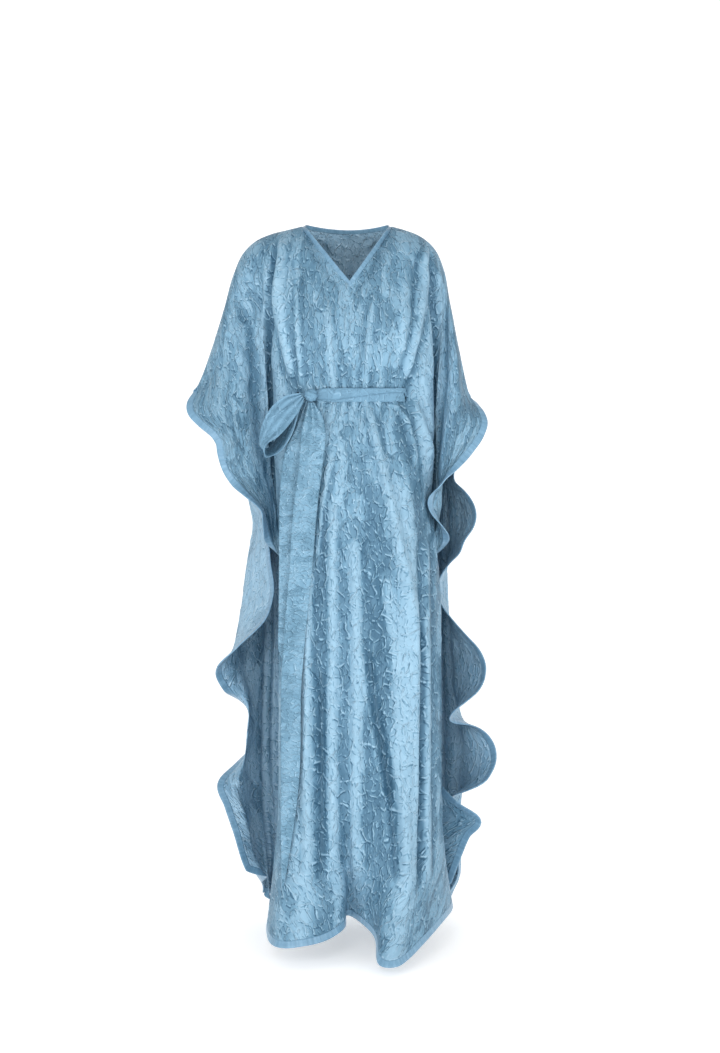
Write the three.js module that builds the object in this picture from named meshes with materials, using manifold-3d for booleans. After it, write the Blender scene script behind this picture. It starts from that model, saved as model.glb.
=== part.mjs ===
// Long V-neck kaftan with open, waved side edges and a tied sash, hollow as it hangs when worn.
// Millimetres, +Z up, the wearer faces -Y. The origin is midway between the two neck points, at the
// height where the shoulders carry the cloth. "Left" is -X and "right" is +X, as seen from the front.
//
// A front and a back panel are each cut nearly square and joined along the shoulder and the top of
// the sleeve. Every vertical thread of a panel is a column, named by "cut": 0 at the centre line and
// -1 or 1 at the two bound side edges. A column starts on the shoulder seam or the neckline and ends
// at the hem. Sections across the panel, at heights given as "down" below the neck points, say where
// a few named columns pass; the columns between them follow smoothly, and folds are raised on top.
import * as THREE from "three";
import { mergeVertices } from "three/addons/utils/BufferGeometryUtils.js";
import Module from "manifold-3d";

const wasm = await Module();
wasm.setup();

const WALL = 1.6; // cloth, with its crushed surface
const SEAM_GAP = 0.3;
const BINDING = { width: 13, thick: 3, gap: 0.7 };
const NECK_BINDING = { width: 10, thick: 2.6, gap: 0.9 };
const NECK_MITRE = 1.55; // the binding is this much wider where it turns at the V's point
const NECK_CUT = 0.19; // the neck points, as a share of the half width
const V_DEPTH = 134; // the V's lowest point on the panel, under its binding
const ROLL = { inward: 120, forward: 48, rows: [0, 5, 16, 34] }; // how the cloth turns off the seam
const BELT = { width: 28, thick: 3, down: 350.5, clear: 5.4, row: 7, slitCut: 0.262, slit: [7, 26, 34] };
const SASH = { width: 48, thick: 2.4 }; // the belt's free ends, opened out flat
const KNOT = { cut: -0.187, down: 352, size: [30, 20, 27] };

// Steps from the centre to the neck point, on to the gathered side, and out to the edge.
const FRONT_MESH = { steps: [5, 7, 10], gatheredTo: 0.45, rows: 32 };
const BACK_MESH = { steps: [3, 7, 7], gatheredTo: 0.6, rows: 31 };

// The shoulder seam from neck point to sleeve tip: out from the centre line, down, and behind y 0.
const SEAM_LEFT = [
  { out: 101, down: 4, behind: 0 },
  { out: 130, down: 11, behind: 3 },
  { out: 163, down: 19, behind: 6 },
  { out: 196, down: 34, behind: 8 },
  { out: 220, down: 57, behind: 9 },
  { out: 239, down: 97, behind: 9 },
  { out: 261, down: 175, behind: 6 },
  { out: 294, down: 278, behind: 2 },
  { out: 308, down: 315, behind: 0 },
  { out: 316, down: 332, behind: 0 },
];
const SEAM_RIGHT = [
  { out: 88, down: 4, behind: 0 },
  { out: 114, down: 11, behind: 3 },
  { out: 148, down: 25, behind: 6 },
  { out: 175, down: 49, behind: 8 },
  { out: 193, down: 88, behind: 9 },
  { out: 206, down: 154, behind: 8 },
  { out: 222, down: 237, behind: 5 },
  { out: 237, down: 309, behind: 1 },
  { out: 244, down: 340, behind: 0 },
];

// Sections of the front panel. Out is towards the side, fore is in front of y 0. The columns named
// are the centre, the belt slit, the side where the skirt turns back, and the wing under the sleeve.
const FRONT_CUTS = { slit: 0.27, side: 0.42, wing: 0.7 };
const FRONT_SECTIONS = [
  { down: 0, centre: 40, slitL: 134, slitR: 122, slit: 36, sideL: 192, sideR: 170, side: 30, wingL: 238, wingR: 200, wing: 26 },
  { down: 60, centre: 74, slitL: 136, slitR: 128, slit: 66, sideL: 194, sideR: 176, side: 36, wingL: 244, wingR: 202, wing: 30 },
  { down: 120, centre: 98, slitL: 136, slitR: 130, slit: 92, sideL: 180, sideR: 177, side: 42, wingL: 248, wingR: 206, wing: 36 },
  { down: 200, centre: 122, slitL: 130, slitR: 128, slit: 116, sideL: 164, sideR: 173, side: 42, wingL: 250, wingR: 214, wing: 48 },
  { down: 270, centre: 130, slitL: 121, slitR: 122, slit: 116, sideL: 158, sideR: 171, side: 36, wingL: 248, wingR: 220, wing: 62 },
  { down: 350, centre: 118, slitL: 104, slitR: 111, slit: 96, sideL: 155, sideR: 170, side: 27, wingL: 240, wingR: 218, wing: 78 },
  { down: 420, centre: 134, slitL: 111, slitR: 119, slit: 112, sideL: 153, sideR: 170, side: 29, wingL: 226, wingR: 208, wing: 86 },
  { down: 520, centre: 148, slitL: 118, slitR: 130, slit: 126, sideL: 149, sideR: 168, side: 38, wingL: 192, wingR: 188, wing: 74 },
  { down: 580, centre: 153, slitL: 122, slitR: 134, slit: 132, sideL: 141, sideR: 169, side: 44, wingL: 168, wingR: 188, wing: 62 },
  { down: 620, centre: 156, slitL: 123, slitR: 136, slit: 135, sideL: 139, sideR: 170, side: 51, wingL: 158, wingR: 180, wing: 46 },
  { down: 650, centre: 158, slitL: 124, slitR: 138, slit: 138, sideL: 138, sideR: 172, side: 58, wingL: 150, wingR: 176, wing: 34 },
  { down: 760, centre: 163, slitL: 127, slitR: 142, slit: 142, sideL: 143, sideR: 181, side: 72, wingL: 138, wingR: 171, wing: 14 },
  { down: 900, centre: 168, slitL: 129, slitR: 146, slit: 146, sideL: 143, sideR: 184, side: 76, wingL: 128, wingR: 164, wing: 0 },
  { down: 1050, centre: 170, slitL: 130, slitR: 148, slit: 148, sideL: 144, sideR: 186, side: 78, wingL: 126, wingR: 160, wing: -12 },
  { down: 1140, centre: 171, slitL: 131, slitR: 149, slit: 149, sideL: 145, sideR: 187, side: 79, wingL: 124, wingR: 151, wing: -34 },
  { down: 1200, centre: 172, slitL: 131, slitR: 150, slit: 150, sideL: 146, sideR: 187, side: 80, wingL: 122, wingR: 153, wing: -42 },
  { down: 1430, centre: 172, slitL: 136, slitR: 154, slit: 150, sideL: 156, sideR: 190, side: 86, wingL: 132, wingR: 168, wing: -36 },
];

// The front panel's bound side edges, a row for each turn of their waves.
const FRONT_EDGE_LEFT = [
  { down: 200, out: 296, fore: 12 },
  { down: 334, out: 324, fore: 5 },
  { down: 352, out: 331, fore: 16 },
  { down: 366, out: 336, fore: 28 },
  { down: 384, out: 333, fore: 43 },
  { down: 404, out: 314, fore: 58 },
  { down: 427, out: 286, fore: 73 },
  { down: 444, out: 275, fore: 75 },
  { down: 474, out: 270, fore: 66 },
  { down: 507, out: 259, fore: 62 },
  { down: 525, out: 245, fore: 68 },
  { down: 558, out: 212, fore: 86 },
  { down: 581, out: 190, fore: 90 },
  { down: 606, out: 183, fore: 80 },
  { down: 630, out: 179, fore: 62 },
  { down: 655, out: 173, fore: 38 },
  { down: 680, out: 161, fore: 12 },
  { down: 710, out: 142, fore: -6 },
  { down: 760, out: 118, fore: -16 },
  { down: 950, out: 106, fore: -36 },
  { down: 1140, out: 104, fore: -62 },
  { down: 1430, out: 116, fore: -66 },
];
const FRONT_EDGE_RIGHT = [
  { down: 200, out: 226, fore: 12 },
  { down: 340, out: 251, fore: 6.5 },
  { down: 362, out: 265, fore: 18 },
  { down: 384, out: 278, fore: 35 },
  { down: 404, out: 283, fore: 48 },
  { down: 427, out: 276, fore: 60 },
  { down: 460, out: 253, fore: 75 },
  { down: 498, out: 220, fore: 88 },
  { down: 529, out: 198, fore: 92 },
  { down: 550, out: 184, fore: 90 },
  { down: 581, out: 180, fore: 84 },
  { down: 600, out: 189, fore: 74 },
  { down: 620, out: 198, fore: 60 },
  { down: 640, out: 204, fore: 42 },
  { down: 660, out: 202, fore: 22 },
  { down: 680, out: 190, fore: 5 },
  { down: 700, out: 175, fore: -6 },
  { down: 750, out: 154, fore: -14 },
  { down: 800, out: 146, fore: -18 },
  { down: 950, out: 140, fore: -30 },
  { down: 1072, out: 148, fore: -40 },
  { down: 1096, out: 152, fore: -66 },
  { down: 1122, out: 161, fore: -76 },
  { down: 1145, out: 172, fore: -64 },
  { down: 1164, out: 182, fore: -44 },
  { down: 1184, out: 198, fore: -16 },
  { down: 1208, out: 230, fore: 10 },
  { down: 1234, out: 272, fore: 20 },
  { down: 1272, out: 252, fore: -6 },
  { down: 1314, out: 236, fore: -20 },
  { down: 1384, out: 212, fore: -26 },
];

// The front hem: how low each column ends, and how far the hem's waves push it sideways (+X) and fore.
const FRONT_HEM = [
  { cut: -1, down: 1392, aside: 0, fore: 0 },
  { cut: -0.7, down: 1402, aside: 0, fore: 0 },
  { cut: -0.5, down: 1430, aside: -12, fore: 25 },
  { cut: -0.42, down: 1440, aside: -12, fore: 58 },
  { cut: -0.3, down: 1450, aside: -10, fore: 76 },
  { cut: -0.18, down: 1450, aside: -4, fore: 70 },
  { cut: -0.09, down: 1438, aside: 12, fore: 36 },
  { cut: -0.04, down: 1424, aside: 8, fore: 2 },
  { cut: 0, down: 1414, aside: -8, fore: -48 },
  { cut: 0.045, down: 1420, aside: -6, fore: -34 },
  { cut: 0.09, down: 1440, aside: -2, fore: 26 },
  { cut: 0.135, down: 1470, aside: -24, fore: 88 },
  { cut: 0.18, down: 1482, aside: -36, fore: 112 },
  { cut: 0.25, down: 1472, aside: -36, fore: 100 },
  { cut: 0.34, down: 1444, aside: -18, fore: 66 },
  { cut: 0.42, down: 1424, aside: 2, fore: 34 },
  { cut: 0.5, down: 1416, aside: 22, fore: -6 },
  { cut: 0.7, down: 1396, aside: 0, fore: 0 },
  { cut: 1, down: 1384, aside: 0, fore: 0 },
];

// Folds of the front panel, one row each. Lean is how far the fold drifts towards the side, in cut
// per metre below the belt; the other columns are its height at each part of the body.
const FRONT_FOLDS = [
  { cut: -0.62, lean: 0, half: 0.055, chest: 2, bust: 6, waist: 9, hip: 1, knee: 1, hem: 0 },
  { cut: -0.5, lean: 0, half: 0.04, chest: 3, bust: 8, waist: 12, hip: 1, knee: 1, hem: 0 },
  { cut: -0.355, lean: 0, half: 0.042, chest: 0, bust: 7, waist: 20, hip: 2, knee: 4, hem: 0 },
  { cut: -0.25, lean: 0, half: 0.036, chest: 6, bust: 9, waist: 0, hip: 8, knee: 8, hem: 2 },
  { cut: -0.17, lean: 0, half: 0.036, chest: 2, bust: 3, waist: 0, hip: 8, knee: 12, hem: 6 },
  { cut: -0.09, lean: 0, half: 0.034, chest: 0, bust: 4, waist: 0, hip: 4, knee: 2, hem: 0 },
  { cut: -0.042, lean: 0, half: 0.034, chest: 0, bust: 2, waist: 0, hip: 7, knee: 11, hem: 4 },
  { cut: 0.02, lean: 0.06, half: 0.034, chest: 0, bust: 4, waist: 0, hip: 6, knee: 9, hem: 4 },
  { cut: 0.085, lean: 0.3, half: 0.034, chest: 0, bust: 3, waist: 0, hip: 10, knee: 9, hem: 0 },
  { cut: 0.15, lean: 0.1, half: 0.036, chest: 2, bust: 4, waist: 0, hip: 8, knee: 12, hem: 6 },
  { cut: 0.225, lean: 0, half: 0.034, chest: 5, bust: 9, waist: 0, hip: 9, knee: 8, hem: 4 },
  { cut: 0.355, lean: 0, half: 0.042, chest: 0, bust: 7, waist: 20, hip: 2, knee: 4, hem: 0 },
  { cut: 0.5, lean: 0, half: 0.04, chest: 3, bust: 8, waist: 10, hip: 1, knee: 1, hem: 0 },
  { cut: 0.62, lean: 0, half: 0.055, chest: 2, bust: 6, waist: 8, hip: 1, knee: 1, hem: 0 },
];

// Sections of the back panel, which falls straight from the shoulder blades. Fore is negative here.
const BACK_CUTS = { blade: 0.3, wing: 0.6, curl: 0.82 };
const BACK_SECTIONS = [
  { down: 0, centre: -66, bladeL: 160, bladeR: 140, blade: -48, wingL: 226, wingR: 188, wing: -44 },
  { down: 60, centre: -90, bladeL: 158, bladeR: 146, blade: -76, wingL: 238, wingR: 198, wing: -50 },
  { down: 130, centre: -112, bladeL: 156, bladeR: 148, blade: -100, wingL: 240, wingR: 204, wing: -56 },
  { down: 220, centre: -124, bladeL: 156, bladeR: 150, blade: -114, wingL: 240, wingR: 210, wing: -68 },
  { down: 350, centre: -128, bladeL: 154, bladeR: 152, blade: -122, wingL: 230, wingR: 208, wing: -92 },
  { down: 520, centre: -140, bladeL: 148, bladeR: 150, blade: -134, wingL: 204, wingR: 200, wing: -120 },
  { down: 700, centre: -152, bladeL: 144, bladeR: 150, blade: -146, wingL: 188, wingR: 192, wing: -128 },
  { down: 950, centre: -166, bladeL: 144, bladeR: 154, blade: -158, wingL: 190, wingR: 200, wing: -132 },
  { down: 1200, centre: -180, bladeL: 148, bladeR: 160, blade: -170, wingL: 194, wingR: 204, wing: -140 },
  { down: 1430, centre: -196, bladeL: 150, bladeR: 164, blade: -184, wingL: 184, wingR: 192, wing: -154 },
];

// The back panel's side edges, where the wide waves show. Curl is the line about 95 mm in from the
// edge, which swings less, and so makes the edge curl forward or back between two tips.
const BACK_EDGE_LEFT = [
  { down: 200, out: 296, fore: -12 },
  { down: 334, out: 324, fore: -5 },
  { down: 362, out: 325, fore: -22 },
  { down: 400, out: 304, fore: -46 },
  { down: 450, out: 276, fore: -66 },
  { down: 500, out: 262, fore: -75 },
  { down: 545, out: 250, fore: -78 },
  { down: 566, out: 228, fore: -66 },
  { down: 585, out: 208, fore: -52 },
  { down: 640, out: 190, fore: -20 },
  { down: 700, out: 183, fore: 0 },
  { down: 768, out: 177, fore: 24 },
  { down: 811, out: 190, fore: 34 },
  { down: 871, out: 245, fore: 26 },
  { down: 915, out: 280, fore: -8 },
  { down: 930, out: 283, fore: -26 },
  { down: 980, out: 260, fore: -58 },
  { down: 1012, out: 237, fore: -100 },
  { down: 1060, out: 210, fore: -128 },
  { down: 1098, out: 218, fore: -128 },
  { down: 1139, out: 250, fore: -100 },
  { down: 1173, out: 280, fore: -60 },
  { down: 1216, out: 265, fore: -34 },
  { down: 1272, out: 244, fore: -12 },
  { down: 1320, out: 230, fore: -2 },
  { down: 1352, out: 218, fore: -8 },
  { down: 1430, out: 176, fore: -50 },
];
const BACK_CURL_LEFT = [
  { down: 200, out: 262, fore: -30 },
  { down: 336, out: 288, fore: -50 },
  { down: 450, out: 262, fore: -96 },
  { down: 545, out: 238, fore: -108 },
  { down: 625, out: 211, fore: -88 },
  { down: 694, out: 226, fore: -74 },
  { down: 752, out: 234, fore: -68 },
  { down: 829, out: 246, fore: -62 },
  { down: 877, out: 254, fore: -58 },
  { down: 930, out: 250, fore: -60 },
  { down: 1012, out: 226, fore: -62 },
  { down: 1060, out: 229, fore: -66 },
  { down: 1098, out: 233, fore: -68 },
  { down: 1173, out: 244, fore: -66 },
  { down: 1272, out: 236, fore: -66 },
  { down: 1315, out: 250, fore: -90 },
  { down: 1360, out: 242, fore: -108 },
  { down: 1430, out: 200, fore: -120 },
];
const BACK_EDGE_RIGHT = [
  { down: 200, out: 226, fore: -12 },
  { down: 340, out: 251, fore: -6.5 },
  { down: 372, out: 262, fore: -24 },
  { down: 400, out: 257, fore: -44 },
  { down: 440, out: 240, fore: -60 },
  { down: 503, out: 228, fore: -66 },
  { down: 537, out: 230, fore: -58 },
  { down: 557, out: 248, fore: -44 },
  { down: 583, out: 263, fore: -30 },
  { down: 601, out: 267, fore: -18 },
  { down: 627, out: 262, fore: -2 },
  { down: 652, out: 246, fore: 12 },
  { down: 674, out: 238, fore: 2 },
  { down: 696, out: 222, fore: -18 },
  { down: 732, out: 202, fore: -38 },
  { down: 787, out: 204, fore: -44 },
  { down: 828, out: 229, fore: -38 },
  { down: 850, out: 246, fore: -32 },
  { down: 888, out: 276, fore: -22 },
  { down: 929, out: 287, fore: 0 },
  { down: 968, out: 270, fore: 24 },
  { down: 988, out: 246, fore: 38 },
  { down: 1006, out: 226, fore: 36 },
  { down: 1024, out: 224, fore: 4 },
  { down: 1044, out: 262, fore: -34 },
  { down: 1077, out: 298, fore: -30 },
  { down: 1109, out: 309, fore: -12 },
  { down: 1139, out: 300, fore: 8 },
  { down: 1158, out: 284, fore: 22 },
  { down: 1172, out: 258, fore: 18 },
  { down: 1186, out: 238, fore: -16 },
  { down: 1204, out: 233, fore: -44 },
  { down: 1265, out: 242, fore: -56 },
  { down: 1307, out: 246, fore: -62 },
  { down: 1377, out: 252, fore: -58 },
  { down: 1430, out: 226, fore: -52 },
];
const BACK_CURL_RIGHT = [
  { down: 200, out: 214, fore: -28 },
  { down: 346, out: 236, fore: -44 },
  { down: 450, out: 222, fore: -88 },
  { down: 537, out: 218, fore: -102 },
  { down: 600, out: 226, fore: -94 },
  { down: 664, out: 224, fore: -88 },
  { down: 732, out: 212, fore: -90 },
  { down: 787, out: 214, fore: -92 },
  { down: 850, out: 226, fore: -84 },
  { down: 930, out: 238, fore: -74 },
  { down: 988, out: 236, fore: -66 },
  { down: 1014, out: 242, fore: -72 },
  { down: 1109, out: 262, fore: -62 },
  { down: 1186, out: 250, fore: -72 },
  { down: 1228, out: 246, fore: -84 },
  { down: 1300, out: 240, fore: -108 },
  { down: 1377, out: 234, fore: -114 },
  { down: 1430, out: 210, fore: -118 },
];

const BACK_HEM = [
  { cut: -1, down: 1352, aside: 0, fore: 0 },
  { cut: -0.93, down: 1368, aside: 34, fore: 20 },
  { cut: -0.86, down: 1388, aside: 26, fore: 26 },
  { cut: -0.78, down: 1408, aside: 14, fore: -8 },
  { cut: -0.7, down: 1430, aside: 10, fore: -12 },
  { cut: -0.6, down: 1446, aside: 8, fore: -6 },
  { cut: -0.48, down: 1448, aside: 0, fore: -46 },
  { cut: -0.36, down: 1442, aside: 0, fore: 8 },
  { cut: -0.24, down: 1448, aside: 0, fore: -54 },
  { cut: -0.12, down: 1440, aside: 0, fore: 2 },
  { cut: 0, down: 1446, aside: 0, fore: -50 },
  { cut: 0.12, down: 1440, aside: 0, fore: 4 },
  { cut: 0.24, down: 1448, aside: 0, fore: -56 },
  { cut: 0.36, down: 1440, aside: 0, fore: 6 },
  { cut: 0.48, down: 1442, aside: 0, fore: -44 },
  { cut: 0.6, down: 1432, aside: -2, fore: -14 },
  { cut: 0.72, down: 1420, aside: 0, fore: -16 },
  { cut: 0.84, down: 1414, aside: 0, fore: 10 },
  { cut: 0.93, down: 1416, aside: 0, fore: 10 },
  { cut: 1, down: 1422, aside: -14, fore: 0 },
];

// Folds of the back panel: soft ridges that fall from the shoulders and deepen towards the hem.
const BACK_FOLDS = [
  { cut: -0.72, lean: 0, half: 0.05, chest: 1, bust: 5, waist: 7, hip: 8, knee: 7, hem: 4 },
  { cut: -0.52, lean: 0, half: 0.05, chest: 3, bust: 7, waist: 9, hip: 12, knee: 14, hem: 8 },
  { cut: -0.38, lean: 0, half: 0.045, chest: 4, bust: 7, waist: 9, hip: 11, knee: 14, hem: 8 },
  { cut: -0.24, lean: 0, half: 0.045, chest: 3, bust: 6, waist: 8, hip: 12, knee: 17, hem: 8 },
  { cut: -0.12, lean: 0, half: 0.035, chest: 1, bust: 3, waist: 5, hip: 7, knee: 9, hem: 3 },
  { cut: 0.01, lean: 0, half: 0.045, chest: 2, bust: 4, waist: 6, hip: 11, knee: 16, hem: 8 },
  { cut: 0.13, lean: 0, half: 0.035, chest: 1, bust: 4, waist: 6, hip: 7, knee: 8, hem: 3 },
  { cut: 0.25, lean: 0, half: 0.045, chest: 4, bust: 6, waist: 8, hip: 12, knee: 16, hem: 8 },
  { cut: 0.39, lean: 0, half: 0.045, chest: 4, bust: 7, waist: 9, hip: 10, knee: 12, hem: 7 },
  { cut: 0.53, lean: 0, half: 0.05, chest: 3, bust: 6, waist: 9, hip: 12, knee: 14, hem: 7 },
  { cut: 0.72, lean: 0, half: 0.05, chest: 1, bust: 5, waist: 7, hip: 8, knee: 7, hem: 4 },
];
const FOLD_LEVELS = { chest: 90, bust: 240, waist: 350, hip: 560, knee: 950, hem: 1400 };
const HEM_SPREAD = 330; // how far above the hem its waves fade out

const clamp01 = (x) => Math.min(1, Math.max(0, x));
const mix = (a, b, w) => a + (b - a) * w;
const smooth = (x) => clamp01(x) ** 2 * (3 - 2 * clamp01(x));

// A smooth curve through (at, value) pairs, level before the first and after the last.
function through(ats, values, at) {
  const last = ats.length - 1;
  if (at <= ats[0]) return values[0];
  if (at >= ats[last]) return values[last];
  let i = 0;
  while (at > ats[i + 1]) i++;
  const slope = (k) => (values[k + 1] - values[k]) / (ats[k + 1] - ats[k]);
  const tangent = (k) => {
    if (k === 0 || k === last) return slope(Math.min(k, last - 1));
    const before = ats[k] - ats[k - 1];
    const after = ats[k + 1] - ats[k];
    return (slope(k - 1) * after + slope(k) * before) / (before + after);
  };
  const span = ats[i + 1] - ats[i];
  const s = (at - ats[i]) / span;
  const rise = span * (s * (1 - s) ** 2 * tangent(i) - s * s * (1 - s) * tangent(i + 1));
  return mix(values[i], values[i + 1], s * s * (3 - 2 * s)) + rise;
}
const column = (rows, key) => rows.map((row) => row[key]);
const read = (rows, by, key, at) => through(column(rows, by), column(rows, key), at);

// The point of the shoulder and sleeve seam at a cut, by its length along the seam.
function seamTable(rows) {
  let length = 0;
  const measured = rows.map((row, i) => {
    if (i) length += Math.hypot(row.out - rows[i - 1].out, row.down - rows[i - 1].down);
    return { ...row, length };
  });
  return measured.map((row) => ({ ...row, cut: mix(NECK_CUT, 1, row.length / length) }));
}
const SEAMS = { left: seamTable(SEAM_LEFT), right: seamTable(SEAM_RIGHT) };

// Where a column of a panel begins: on the seam, or on the neckline inside the neck points. Reach is
// how much of the way out to the panel's own section the cloth already is at its start.
function topOf(cut, neckline) {
  const side = cut < 0 ? SEAMS.left : SEAMS.right;
  const sign = cut < 0 ? -1 : 1;
  const share = Math.abs(cut) / NECK_CUT;
  if (share >= 1) {
    const at = Math.abs(cut);
    return {
      x: sign * read(side, "cut", "out", at),
      fore: -read(side, "cut", "behind", at),
      down: read(side, "cut", "down", at),
      reach: 0,
    };
  }
  const reach = Math.sqrt(1 - share ** 2);
  return { x: sign * side[0].out * share, fore: 0, down: neckline(share, side[0].down), reach };
}
const frontNeck = (share, shoulder) => mix(V_DEPTH, shoulder, share ** 1.06);
const backNeck = (share, shoulder) => shoulder + 9 * (1 - share ** 2);

function foldHeight(folds, cut, down) {
  const levels = Object.values(FOLD_LEVELS);
  let height = 0;
  for (const fold of folds) {
    const drift = fold.lean * clamp01((down - FOLD_LEVELS.waist) / 450) * 0.45;
    const off = (cut - fold.cut - drift) / fold.half;
    if (Math.abs(off) > 3) continue;
    const names = Object.keys(FOLD_LEVELS);
    height += through(levels, names.map((name) => fold[name]), down) * Math.exp(-off * off);
  }
  return height;
}

// The smooth panel, before its folds: a point at a cut and a height, for cloth that ends at a hem.
function basePoint(panel, cut, down) {
  const top = topOf(cut, panel.neckline);
  const lowest = hemOf(panel, cut);
  const [cuts, outs, fores] = panel.section(down);
  const drop = down - top.down;
  const tip = smooth((Math.abs(cut) - 0.7) / 0.3); // at a sleeve's tip the edge leaves the seam at once
  const inward = smooth(drop / mix(ROLL.inward, 20, tip));
  const round = Math.sqrt(1 - (1 - clamp01(drop / mix(ROLL.forward, 20, tip))) ** 2);
  const forward = Math.max(top.reach, round);
  const wave = clamp01((down - lowest + HEM_SPREAD) / HEM_SPREAD) ** 2;
  const aside = wave * read(panel.hem, "cut", "aside", cut);
  const push = wave * read(panel.hem, "cut", "fore", cut);
  return new THREE.Vector3(
    mix(top.x, through(cuts, outs, cut), inward) + aside,
    -(mix(top.fore, through(cuts, fores, cut), forward) + push),
    -down,
  );
}
const hemOf = (panel, cut) => read(panel.hem, "cut", "down", cut) - BINDING.width + 2;

// Out and fore of a bound side edge. A panel ends a binding's width inside the edge.
const edgeOut = (rows, down) => read(rows, "down", "out", down) - BINDING.width + 2;
const edgeFore = (rows, down) => read(rows, "down", "fore", down);
const frontSection = (down) => {
  const get = (key) => read(FRONT_SECTIONS, "down", key, down);
  const { slit, side, wing } = FRONT_CUTS;
  return [
    [-1, -wing, -side, -slit, 0, slit, side, wing, 1],
    [-edgeOut(FRONT_EDGE_LEFT, down), -get("wingL"), -get("sideL"), -get("slitL"), 0,
      get("slitR"), get("sideR"), get("wingR"), edgeOut(FRONT_EDGE_RIGHT, down)],
    [edgeFore(FRONT_EDGE_LEFT, down), get("wing"), get("side"), get("slit"), get("centre"),
      get("slit"), get("side"), get("wing"), edgeFore(FRONT_EDGE_RIGHT, down)],
  ];
};
const backSection = (down) => {
  const get = (key) => read(BACK_SECTIONS, "down", key, down);
  const { blade, wing, curl } = BACK_CUTS;
  return [
    [-1, -curl, -wing, -blade, 0, blade, wing, curl, 1],
    [-edgeOut(BACK_EDGE_LEFT, down), -edgeOut(BACK_CURL_LEFT, down), -get("wingL"), -get("bladeL"), 0,
      get("bladeR"), get("wingR"), edgeOut(BACK_CURL_RIGHT, down), edgeOut(BACK_EDGE_RIGHT, down)],
    [edgeFore(BACK_EDGE_LEFT, down), edgeFore(BACK_CURL_LEFT, down), get("wing"), get("blade"), get("centre"),
      get("blade"), get("wing"), edgeFore(BACK_CURL_RIGHT, down), edgeFore(BACK_EDGE_RIGHT, down)],
  ];
};
const FRONT = { facing: 1, neckline: frontNeck, section: frontSection, hem: FRONT_HEM, folds: FRONT_FOLDS, ...FRONT_MESH };
const BACK = { facing: -1, neckline: backNeck, section: backSection, hem: BACK_HEM, folds: BACK_FOLDS, ...BACK_MESH };

// The outward normal at each point of a grid: the mean of the quads that meet there, evened once
// along the rows so that a wall built on it does not twist at the waved edges.
function normalsOf(points, facing) {
  const quads = points.slice(1).map((row, j) =>
    row.slice(1).map((_, i) => {
      const down = points[j + 1][i].clone().add(points[j + 1][i + 1]).sub(points[j][i]).sub(points[j][i + 1]);
      const over = points[j][i + 1].clone().add(points[j + 1][i + 1]).sub(points[j][i]).sub(points[j + 1][i]);
      return over.cross(down).multiplyScalar(-facing).normalize();
    }),
  );
  const meet = points.map((row, j) =>
    row.map((_, i) => {
      const sum = new THREE.Vector3();
      for (const a of [j - 1, j]) for (const b of [i - 1, i]) if (quads[a]?.[b]) sum.add(quads[a][b]);
      return sum.normalize();
    }),
  );
  return meet.map((row, j) =>
    row.map((own, i) => {
      const sum = own.clone().multiplyScalar(2);
      for (const near of [meet[j - 1]?.[i], meet[j + 1]?.[i]]) if (near) sum.addScaledVector(near, 0.5);
      return sum.normalize();
    }),
  );
}

// The cuts of a panel's columns, from one side edge to the other.
function cutsOf({ steps, gatheredTo }) {
  const stops = [0, NECK_CUT, gatheredTo, 1];
  const half = [0];
  steps.forEach((count, k) => {
    for (let i = 1; i <= count; i++) half.push(mix(stops[k], stops[k + 1], i / count));
  });
  return [...half.slice(1).reverse().map((cut) => -cut), ...half];
}

// The heights of a column's rows: close together over the roll, one above and one below the belt,
// and even elsewhere. Towards the side edges, which start below the belt, they are only even.
function downsOf({ rows }, cut, top, hem) {
  const side = smooth((Math.abs(cut) - 0.42) / 0.4);
  const roll = ROLL.rows.map((drop, k) => top + mix(drop, 12 * k, side));
  const start = roll[roll.length - 1];
  const count = rows - roll.length + 1;
  const [above, below] = [BELT.down - 15.5, BELT.down + 15.5];
  const rest = Array.from({ length: count }, (_, n) => {
    const k = n + 1;
    const parted =
      k <= BELT.row ? mix(start, above, k / BELT.row) : mix(below, hem, (k - BELT.row - 1) / (count - BELT.row - 1));
    return mix(parted, mix(start, hem, k / count), side);
  });
  return [...roll, ...rest];
}

// A panel's points and normals, with its folds raised.
function drape(panel) {
  const cuts = cutsOf(panel);
  const columns = cuts.map((cut) => {
    const downs = downsOf(panel, cut, topOf(cut, panel.neckline).down, hemOf(panel, cut));
    return downs.map((down) => basePoint(panel, cut, down));
  });
  const smoothPoints = columns[0].map((_, j) => columns.map((points) => points[j]));
  const outward = normalsOf(smoothPoints, panel.facing);
  const points = smoothPoints.map((row, j) =>
    row.map((point, i) => {
      const fade = smooth(j / 4) * smooth((1 - Math.abs(cuts[i])) / 0.12);
      const height = foldHeight(panel.folds, cuts[i], -point.z) * fade;
      return point.clone().addScaledVector(outward[j][i], height);
    }),
  );
  const normals = normalsOf(points, panel.facing);
  points[0].forEach((point, i) => {
    if (Math.abs(cuts[i]) < NECK_CUT - 1e-6) return;
    point.y -= (panel.facing * SEAM_GAP) / 2;
    normals[0][i].setY(0).normalize();
  });
  return { points, normals, cuts, facing: panel.facing };
}

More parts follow.
